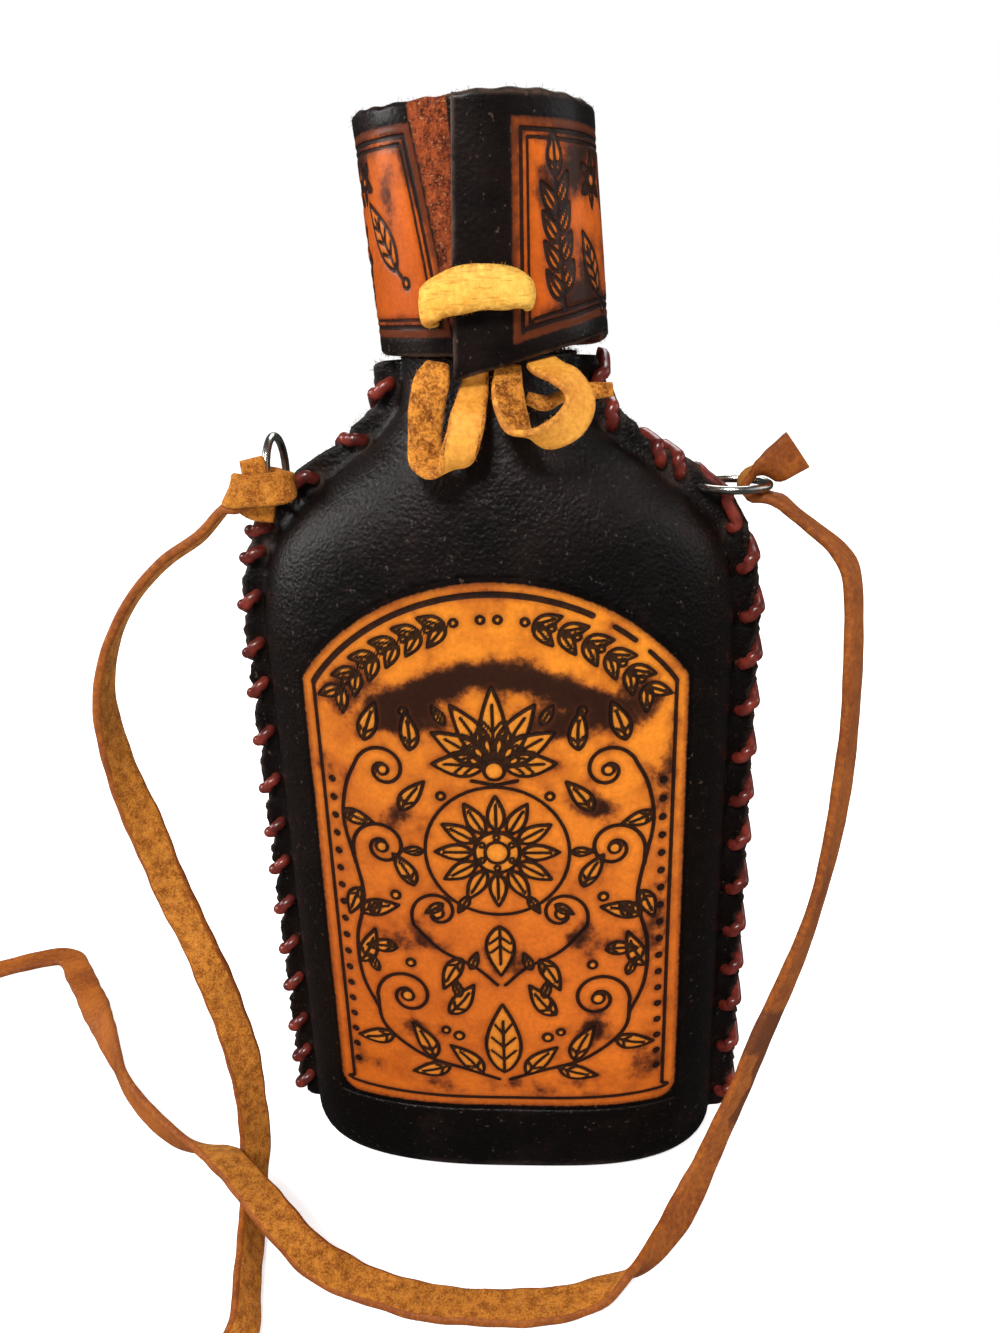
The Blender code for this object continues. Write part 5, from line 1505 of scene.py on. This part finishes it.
def bow_rows():
    """Routes of the left loop, the right loop and the knot of the bow."""
    w = BOW_WIDTH
    front = -COLLAR_RADIUS
    left = [
        (-0.0076, front + 0.0045, 0.1783, w * 0.7, 1.0, -0.3, 0.0),
        (-0.0086, front + 0.0030, 0.1755, w, 1.0, 0.0, 0.0),
        (-0.0094, -0.0201, 0.1722, w, 1.0, 0.05, 0.0), (-0.0099, -0.0207, 0.1685, w, 1.0, 0.1, 0.0),
        (-0.0101, -0.0214, 0.1648, w, 1.0, 0.1, 0.0), (-0.0098, -0.0224, 0.1624, w, 0.95, 0.3, 0.1),
        (-0.0080, -0.0243, 0.1610, w, 0.65, 0.7, 0.2), (-0.0056, -0.0258, 0.1616, w, 0.65, 0.7, 0.2),
        (-0.0038, -0.0262, 0.1640, w, 0.9, 0.3, 0.1), (-0.0026, -0.0259, 0.1672, w, 1.0, 0.0, 0.0),
        (-0.0020, -0.0244, 0.1702, w, 1.0, 0.0, 0.0), (-0.0016, -0.0206, 0.1726, w * 0.9, 1.0, 0.0, 0.0),
        (-0.0012, -0.0184, 0.1746, w * 0.75, 1.0, 0.0, 0.0),
        (-0.0010, front + 0.0040, 0.1762, w * 0.7, 1.0, 0.0, 0.0),
        (-0.0010, front + 0.0041, 0.1774, w * 0.7, 1.0, 0.0, 0.0),
    ]
    right = [
        (0.0103, front + 0.0042, 0.1780, w * 0.9, 1.0, 0.3, 0.1),
        (0.0118, front + 0.0018, 0.1770, w, 0.9, 0.4, 0.1),
        (0.0142, -0.0222, 0.1760, w, 0.8, 0.5, 0.1), (0.0164, -0.0238, 0.1738, w, 0.8, 0.5, -0.2),
        (0.0168, -0.0248, 0.1710, w, 0.8, 0.5, -0.3), (0.0146, -0.0258, 0.1680, w, 0.75, 0.5, -0.4),
        (0.0106, -0.0260, 0.1664, w, 0.7, 0.55, -0.45), (0.0068, -0.0250, 0.1676, w, 0.8, 0.5, -0.3),
        (0.0052, -0.0234, 0.1706, w, 0.85, 0.5, -0.1), (0.0046, -0.0212, 0.1738, w * 0.95, 0.9, 0.4, 0.0),
        (0.0046, front + 0.0032, 0.1760, w * 0.8, 1.0, 0.3, 0.0),
        (0.0046, front + 0.0042, 0.1776, w * 0.7, 1.0, 0.2, 0.0),
    ]
    knot = [
        (0.0077, -0.0180, 0.1722, 0.0030, 0.3, 1.0, 0.3), (0.0108, -0.0176, 0.1712, 0.0036, 0.3, 1.0, 0.5),
        (0.0138, -0.0166, 0.1722, 0.0034, 0.2, 1.0, 0.3), (0.0178, -0.0155, 0.1728, 0.0030, 0.1, 0.6, 0.8),
        (0.0226, -0.0145, 0.1730, 0.0026, 0.1, 0.3, 1.0),
    ]
    return left, right, knot


def build_bow(bright, smooth, rough):
    left, right, knot = bow_rows()
    thin = THONG_THICKNESS * 0.9
    for name, rows, node, thickness, surfaces, dome in (
        ("collar_tie", thong_rows(), "collar_thong", THONG_THICKNESS, (bright, rough), 0.0008),
        ("bow_loop_left", left, "bow_left_loop", thin, (rough, smooth), 0.0),
        ("bow_loop_right", right, "bow_right_loop", thin, (smooth, rough), 0.0),
        ("bow_tie_end", knot, "bow_knot", THONG_THICKNESS, (rough, rough), 0.0),
    ):
        piece = band_piece(name, rows, surfaces, thickness, dome=dome, seed=len(name))
        yield seat(piece, "collar", "tan_thong", node)


def build_rings(surface, recipe, edge):
    """The left ring stands up in its hole and the right one lies out level."""
    for name, side, node in (("ring_left", -1, "left_ring"), ("ring_right", 1, "right_ring")):
        hole = Vector(ring_hole(edge, side))
        out = Vector((0, 0, 1)) if side < 0 else Vector((1, 0, 0))
        centre = hole + out * RING_RADIUS
        turns = [2 * math.pi * i / 120 for i in range(120)]
        points = [centre + RING_RADIUS * (math.cos(t) * out + math.sin(t) * Vector((0, 1, 0))) for t in turns]
        ring = cord_piece(name, points, RING_WIRE, 20, surface, recipe, loop=True)
        seat(ring, node + "_body", "nickel_wire", node)


def knot_rows(edge):
    """The wrap on the left ring, and the strap's turn round the right ring with its cut end."""
    w = STRAP_WIDTH
    x, _, z = ring_hole(edge, -1)
    left = [
        (x - 0.0036, -0.0035, z + 0.0072, 0.0024, 0, 0, 1),
        (x - 0.0009, -0.0032, z + 0.0072, 0.0022, 0, 0, 1),
        (x + 0.0012, -0.0036, z + 0.0070, 0.0022, 0, 0, 1),
        (x + 0.0030, -0.0060, z + 0.0066, 0.0026, 0, 0, 1),
        (x + 0.0050, -0.0082, z + 0.0058, 0.0048, 0, 0, 1),
        (x + 0.0040, -0.0095, z + 0.0052, w * 0.84, -0.3, 0, 1),
        (x + 0.0006, -0.0098, z + 0.0048, w * 0.82, -0.1, 0, 1),
        (x - 0.0034, -0.0097, z + 0.0047, w * 0.82, 0.2, 0, 1),
        (x - 0.0058, -0.0092, z + 0.0046, w * 0.86, 0.5, 0, 1),
        (x - 0.0068, -0.0079, z + 0.0042, w * 0.84, 0.5, 0, 1),
        (x - 0.0062, -0.0067, z + 0.0032, w * 0.72, 0, 0, 1),
        (x - 0.0034, -0.0067, z + 0.0006, w * 0.6, 0, 0, 1),
        (x + 0.0008, -0.0068, z - 0.0004, w * 0.5, 0, 0, 1),
    ]
    x, _, z = ring_hole(edge, 1)
    far = x + 2 * RING_RADIUS
    gap = RING_WIRE + STRAP_THICKNESS / 2 + FIT + 0.0001
    right = [
        (far + 0.0022, -0.0024, z - 0.0031, w, 0.1, 1, 0.1),
        (far + 0.0004, -0.0018, z - gap - 0.0003, w, 0, 1, 0.0),
        (far - 0.0018, -0.0010, z - gap, w * 0.95, 0, 1, 0),
        (far - 0.0036, -0.0005, z - gap * 0.95, w * 0.88, 0, 1, 0),
        (far - 0.0049, 0.0, z, w * 0.82, 0, 1, 0), (far - 0.0036, 0.0, z + gap * 0.95, w * 0.88, 0, 1, 0),
        (far - 0.0020, -0.0006, z + gap + 0.0006, w * 0.95, 0.2, 1, -0.2),
        (far - 0.0006, -0.0018, z + gap + 0.0010, w * 0.95, 0.6, 0.45, -0.6),
        (far + 0.0010, -0.0022, z + gap + 0.0020, w, 0.62, 0.15, -0.76),
        (far + 0.0046, -0.0022, z + gap + 0.0046, w * 1.05, 0.62, 0.05, -0.78),
    ]
    return left, right


def strap_rows(edge):
    """The strap's route from the right ring down to the table, over itself, and up to the left ring."""
    w = STRAP_WIDTH
    t = STRAP_THICKNESS / 2
    left, right = ring_hole(edge, -1), ring_hole(edge, 1)
    flat = t + 0.0001
    over = w + t + 0.0013
    edge_up = w / 2 + 0.0003
    far = right[0] + 2 * RING_RADIUS
    start = (far + 0.0028, -0.0026, right[2] - 0.0037)
    finish_at = (left[0] - 0.0094, -0.0068, left[2] + 0.0004)
    return [
        (*start, w, 0.2, 0.95, -0.1), (0.0578, -0.0033, 0.1485, w, 0.45, 0.85, -0.2),
        (0.0614, -0.0045, 0.1457, w, 0.5, 0.8, -0.2), (0.0661, -0.0065, 0.1417, w, 0.5, 0.83, -0.1),
        (0.0685, -0.0085, 0.1367, w, 0.5, 0.86, 0.0), (0.0690, -0.0115, 0.1250, w, 0.54, 0.84, 0.0),
        (0.0691, -0.0135, 0.1097, w, 0.54, 0.84, 0.0), (0.0685, -0.0150, 0.0975, w, 0.59, 0.8, 0.0),
        (0.0674, -0.0165, 0.0869, w, 0.58, 0.8, 0.0), (0.0654, -0.0180, 0.0752, w, 0.52, 0.85, 0.0),
        (0.0625, -0.0195, 0.0640, w, 0.58, 0.8, -0.1), (0.0586, -0.0210, 0.0523, w, 0.68, 0.7, -0.15),
        (0.0545, -0.0230, 0.0419, w, 0.7, 0.68, -0.2), (0.0505, -0.0250, 0.0302, w, 0.7, 0.66, -0.25),
        (0.0460, -0.0275, 0.0197, w, 0.7, 0.6, -0.3), (0.0415, -0.0310, 0.0108, w, 0.68, 0.4, -0.45),
        (0.0365, -0.0372, 0.0062, w, 0.55, 0.15, -0.8),
        (0.0307, -0.0442, edge_up + 0.0003, w, 0.1, 0.1, -1.0),
        (0.0255, -0.0486, 0.0038, w, -0.2, 0.55, -0.8), (0.0200, -0.0514, 0.0021, w, -0.2, 0.95, -0.25),
        (0.0121, -0.0537, flat + 0.0002, w, -0.15, 1.0, -0.03), (0.0003, -0.0548, flat, w, -0.05, 1.0, 0.0),
        (-0.0137, -0.0543, flat, w, 0.1, 1.0, 0.0), (-0.0253, -0.0517, 0.0012, w, 0.3, 0.95, 0.05),
        (-0.0316, -0.0505, 0.0028, w, 0.35, 0.9, 0.2), (-0.0386, -0.0490, 0.0062, w, 0.45, 0.8, 0.3),
        (-0.0461, -0.0443, over, w, 0.55, 0.75, 0.2), (-0.0514, -0.0394, over + 0.0004, w, 0.6, 0.75, 0.0),
        (-0.0550, -0.0360, over + 0.0004, w, 0.6, 0.75, 0.0), (-0.0610, -0.0305, 0.0103, w, 0.58, 0.7, -0.05),
        (-0.0670, -0.0251, 0.0080, w, 0.5, 0.6, -0.4),
        (-0.0778, -0.0185, edge_up + 0.0005, w, 0.15, 0.2, -0.95),
        (-0.0881, -0.0110, edge_up, w, 0.0, 0.0, -1.0), (-0.0981, -0.0014, edge_up, w, 0.0, 0.0, -1.0),
        (-0.1046, 0.0075, edge_up, w, -0.15, -0.1, -0.95), (-0.1134, 0.0196, 0.0036, w, -0.5, -0.35, -0.7),
        (-0.1242, 0.0342, 0.0018, w, -0.8, -0.6, -0.2), (-0.1335, 0.0461, flat, w, -0.75, -0.65, 0.0),
        (-0.1410, 0.0545, flat, w, -0.5, -0.85, 0.0), (-0.1500, 0.0535, flat, w, 0.2, -1.0, 0.0),
        (-0.1670, 0.0440, flat, w, 0.45, -0.9, 0.0),
        (-0.1870, 0.0290, flat, w, 0.7, -0.7, 0.0), (-0.1980, 0.0060, flat, w, 1.0, 0.0, 0.0),
        (-0.1950, -0.0330, flat + 0.0004, w, 0.95, 0.3, -0.1), (-0.1760, -0.0630, 0.0040, w, 0.45, 0.5, -0.8),
        (-0.1570, -0.0780, edge_up, w, 0.0, -0.1, -1.0), (-0.1360, -0.0890, 0.0032, w, -0.3, -0.9, -0.5),
        (-0.1020, -0.0960, flat + 0.0003, w, 0.0, -1.0, 0.0),
        (-0.0680, -0.0900, flat + 0.0005, w, 0.6, -0.8, -0.05),
        (-0.0570, -0.0828, 0.0016, w, 0.75, -0.6, -0.15),
        (-0.0508, -0.0735, 0.0026, w, 0.85, -0.25, -0.4),
        (-0.0485, -0.0636, 0.0038, w, 0.55, 0.0, -0.75),
        (-0.0509, -0.0532, 0.0038, w, 0.5, 0.1, -0.8), (-0.0538, -0.0405, 0.0037, w, 0.5, 0.1, -0.78),
        (-0.0558, -0.0315, 0.0037, w, 0.5, 0.1, -0.78), (-0.0573, -0.0262, 0.0046, w, 0.5, 0.3, -0.72),
        (-0.0580, -0.0224, 0.0080, w, 0.58, 0.55, -0.4), (-0.0584, -0.0205, 0.0135, w, 0.6, 0.75, 0.0),
        (-0.0592, -0.0190, 0.0273, w, 0.7, 0.7, 0.1), (-0.0619, -0.0180, 0.0415, w, 0.86, 0.4, 0.2),
        (-0.0660, -0.0170, 0.0566, w, 0.95, 0.15, 0.25), (-0.0712, -0.0155, 0.0708, w, 0.94, 0.2, 0.25),
        (-0.0753, -0.0140, 0.0846, w, 0.75, 0.6, 0.2), (-0.0787, -0.0130, 0.0959, w, 0.48, 0.85, 0.1),
        (-0.0806, -0.0120, 0.1058, w, 0.2, 0.97, 0.0), (-0.0812, -0.0110, 0.1132, w, 0.08, 1.0, 0.0),
        (-0.0800, -0.0100, 0.1205, w, 0.0, 1.0, 0.05), (-0.0772, -0.0090, 0.1277, w, -0.08, 1.0, 0.05),
        (-0.0725, -0.0080, 0.1348, w, -0.12, 1.0, -0.1),
        (-0.0655, -0.0075, 0.1414, w * 0.85, -0.15, 1.0, -0.25),
        (-0.0579, -0.0070, 0.1462, w * 0.66, -0.2, 0.9, -0.35), (*finish_at, w * 0.62, -0.2, 0.85, -0.2),
    ]


def build_strap(smooth, rough, edge):
    """One band from knot to knot round the right ring. Its left end is cut off, to follow the left ring."""
    w = STRAP_WIDTH
    left_knot, right_knot = knot_rows(edge)
    x, _, z = ring_hole(edge, -1)
    flap_rows = [
        (x - 0.0012, -0.0086, z + 0.0056, w * 0.62, 1, 0, 0),
        (x - 0.0017, -0.0086, z + 0.0082, w * 0.68, 1, 0, 0.1),
        (x - 0.0022, -0.0082, z + 0.0105, w * 0.62, 1, 0, 0.2),
    ]
    tucked = [
        (x - 0.0066, -0.0074, z + 0.0024, w * 0.8, -0.2, 0.6, 0.6),
        (x - 0.0036, -0.0079, z + 0.0040, w * 0.7, -0.1, 0.1, 1.0),
    ]
    rows = strap_rows(edge)
    between_knots = smooth_route(rows, STRAP_SPACING)[1]
    turn_length = smooth_route(right_knot, STRAP_SPACING)[1]

    def stain(travel, share):
        travel = travel - turn_length
        past = travel - STAIN_SPOT
        wave = 0.25 * np.sin(travel * 420) + 0.12 * np.sin(travel * 1100)
        edge_run = bell(past - 0.012, 0.014, 4) * np.clip((share - 0.05 + wave) * 3, 0, 1)
        return np.maximum(bell(past, 0.006, 4), edge_run)

    knot = band_piece("strap_wrap_left", left_knot, [rough, rough], STRAP_THICKNESS, seed=1.0)
    flap = band_piece("strap_flap_left", flap_rows, [rough, rough], STRAP_THICKNESS, seed=4.0)
    for piece in (knot, flap):
        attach(piece, "left_ring_body")
    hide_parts("left_strap_knot")
    band = right_knot[::-1] + rows[1:] + tucked
    whole = smooth_route(band, STRAP_SPACING / 2)[0]
    cut = int(np.argmin(np.linalg.norm(whole[:, :3] - np.array(rows[-3][:3]), axis=1)))
    made = []
    for name, keep, ring in (
        ("long_strap", (0, cut + 1), "right_ring_body"), ("strap_left_end", (cut, None), "left_ring_body"),
    ):
        piece = band_piece(
            name, band, [smooth, rough], STRAP_THICKNESS, STRAP_SPACING / 2, keep, stain,
            wobble=0.12, seed=2.0,
        )
        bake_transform(piece, ring, "flask", *STRAP_BENDS[ring])
        made.append(piece)
    strap, end = made
    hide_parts("shoulder_strap", "right_strap_knot")
    centres = whole[:cut + 1, :3]
    path = [tuple(p) for p in centres[::3]] + [tuple(centres[-1])]
    reach = float(np.linalg.norm(np.diff(centres, axis=0), axis=1).sum())
    print("strap length from knot to knot", between_knots, "and with its turn round the right ring", reach)
    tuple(path[0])
    return [knot, flap, strap, end]


# Stage

def build_camera():
    """The camera, fitted to the edges, the base, the panel and the collar in the photo."""
    camera = bpy.data.cameras.new("camera")
    camera.lens = 27.03
    camera.sensor_width = 36.0
    camera.clip_start = 0.01
    placed = link(bpy.data.objects.new("camera", camera))
    distance, height = 0.1978, 0.1875
    tilt, side, roll = math.radians(19.85), math.radians(4.40), math.radians(-1.83)
    look = Vector((-math.sin(side) * math.cos(tilt), math.cos(side) * math.cos(tilt), -math.sin(tilt)))
    right = Vector((math.cos(side), math.sin(side), 0.0))
    up = right.cross(look)
    across = right * math.cos(roll) + up * math.sin(roll)
    above = up * math.cos(roll) - right * math.sin(roll)
    turn = Matrix((across, above, -look)).transposed()
    place = (distance * math.sin(side) + 0.00015, -distance * math.cos(side), height)
    placed.matrix_world = Matrix.Translation(place) @ turn.to_4x4()
    bpy.context.scene.camera = placed


def build_floor():
    """A pale floor that takes the shadow."""
    floor = mesh_piece("floor", [(-4, -4, 0), (4, -4, 0), (4, 4, 0), (-4, 4, 0)], [(0, 1, 2, 3)], [])
    paint = Paint("pale_floor")
    seen = paint.put("ShaderNodeLightPath", output="Is Camera Ray")
    glow = paint.mix(seen, (0.0, 0.0, 0.0), (0.62, 0.62, 0.62))
    mirrored = paint.put("ShaderNodeLightPath", output="Is Glossy Ray")
    pale = paint.mix(mirrored, (0.90, 0.90, 0.90), (0.03, 0.03, 0.03))
    paint.finish(Base_Color=pale, Roughness=0.9, Emission_Color=glow, Emission_Strength=1.0)
    floor.data.materials.append(paint.material)


def build_sky():
    """An even white sky. Its light is softer than it looks, and mirrors show it dimmer still."""
    world = bpy.data.worlds.new("soft_studio")
    bpy.context.scene.world = world
    world.use_nodes = True
    tree = world.node_tree
    sky = tree.nodes["Background"]
    path = tree.nodes.new("ShaderNodeLightPath")
    share = tree.nodes.new("ShaderNodeMix")
    dim = tree.nodes.new("ShaderNodeMix")
    dim.inputs[2].default_value = 0.46
    dim.inputs[3].default_value = 0.05
    share.inputs[3].default_value = 1.0
    tree.links.new(path.outputs["Is Glossy Ray"], dim.inputs[0])
    tree.links.new(path.outputs["Is Camera Ray"], share.inputs[0])
    tree.links.new(dim.outputs[0], share.inputs[2])
    tree.links.new(share.outputs[0], sky.inputs["Strength"])
    sky.inputs["Color"].default_value = (1, 1, 1, 1)
    bpy.context.scene.view_settings.view_transform = "Standard"


def build_lamps():
    """Five soft lamps, aimed at the flask."""
    for name, place, size, power in (
        ("key", (-0.20, -0.80, 0.95), 0.30, 11.0), ("fill", (0.9, -0.5, 0.6), 0.8, 0.8),
        ("back", (0.1, 0.8, 0.9), 0.6, 4.0), ("left_rim", (-0.85, -0.05, 0.45), 0.35, 4.0),
        ("right_rim", (0.85, 0.1, 0.45), 0.5, 1.2),
    ):
        lamp = bpy.data.lights.new(name, "AREA")
        lamp.energy = power
        lamp.size = size
        made = link(bpy.data.objects.new(name, lamp))
        made.location = place
        made.rotation_euler = (Vector((0, 0, 0.1)) - Vector(place)).to_track_quat("-Z", "Y").to_euler()


def build_lacing(surface, recipe, edge):
    for name, side, node in (("lacing_left", -1, "left_lacing"), ("lacing_right", 1, "right_lacing")):
        route = smooth_route(lacing_route(edge, side), 0.0004)[0]
        lace = cord_piece(name, route, LACE_RADIUS, 12, surface, recipe)
        seat(lace, "flask", "lacing_cord", node)


def build_fibres(skins, collar, bands):
    """Loose fibres on every cut edge. Those of a piece that bends between two bodies bend with it."""
    nap = nap_recipe()
    dark_fibre = fibre("dark_fibre", tone(92, 62, 46), tone(30, 22, 20))
    tan_fibre = fibre("tan_fibre", tone(232, 170, 88), tone(150, 86, 34))
    for name, source, body, slot, density, length, seed in (
        ("cover_fuzz_front", skins[0], "flask", "dark_leather", 1300000.0, 0.0011, 3),
        ("cover_fuzz_back", skins[1], "flask", "dark_leather", 1000000.0, 0.0011, 4),
        ("collar_fuzz", collar, "collar", "collar_leather", 1600000.0, 0.0008, 5),
    ):
        fuzz = nap.make(name, source, density=density, length=length, seed=seed, surface=dark_fibre)
        seat(fuzz, body, slot)
    for index, source in enumerate(bands):
        fuzz = nap.make(
            source.name + "_fuzz", source,
            density=1200000.0, length=0.0006, seed=20 + index, surface=tan_fibre,
        )
        bend = source.get("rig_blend")
        if bend:
            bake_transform(fuzz, *bend, *STRAP_BENDS[bend[0]])
        else:
            body = body_of(source)[0]
            seat(fuzz, body, "tan_thong" if body == "collar" else "strap_leather")


def dress():
    build_camera()
    edge = EdgeLine()
    cord = tube_recipe()
    strap_smooth = smooth_tan("strap_smooth", tone(168, 92, 20), tone(118, 54, 10), 0.46)
    strap_rough = rough_tan("strap_suede", tone(200, 126, 44), tone(128, 66, 16))
    straps = build_strap(strap_smooth, strap_rough, edge)
    dark = leather_material("dark_hide", dark_hide, 0.00032, Specular_IOR_Level=0.30)
    flesh = leather_material("hide_flesh_side", hide_back, 0.0003)
    skins = list(build_cover(dark, flesh, edge))
    # the panel's tan at the top, its darker tan lower down as painted shade, and the painted highlight colour
    # of its raised shapes
    tan_front = (tone(244, 146, 30), tone(214, 108, 20), tone(250, 166, 50))
    build_panel(tooled_hide("tooled_front", *tan_front, 0.05))
    build_lacing(waxed_lace(), cord, edge)
    # the collar's tan at the top, its darker tan lower down as painted shade, and the painted highlight
    # colour of its raised shapes
    tan_collar = (tone(222, 104, 10), tone(190, 80, 8), tone(230, 130, 28))
    collar = build_collar(tooled_hide("tooled_collar", *tan_collar, 0.03))
    thong_smooth = smooth_tan("thong_smooth", tone(250, 200, 88), tone(226, 156, 50), 0.5, 0.55)
    bow_smooth = smooth_tan("bow_smooth", tone(238, 166, 62), tone(196, 118, 32), 0.5)
    thong_rough = rough_tan("thong_split", tone(226, 146, 54), tone(116, 56, 14), 0.0006, 0.0003)
    bows = list(build_bow(thong_smooth, bow_smooth, thong_rough))
    build_rings(plated_wire(), cord, edge)
    build_bottle(bottle_glass(), cord)
    for node, surface in (("screw_cap", spun_aluminium()), ("cap_liner", liner_foam())):
        slots = frame["nodes"][node].data.materials
        slots.clear()
        slots.append(surface)
    build_fibres(skins, collar, bows + straps)
    build_floor()
    build_sky()
    build_lamps()


dress()
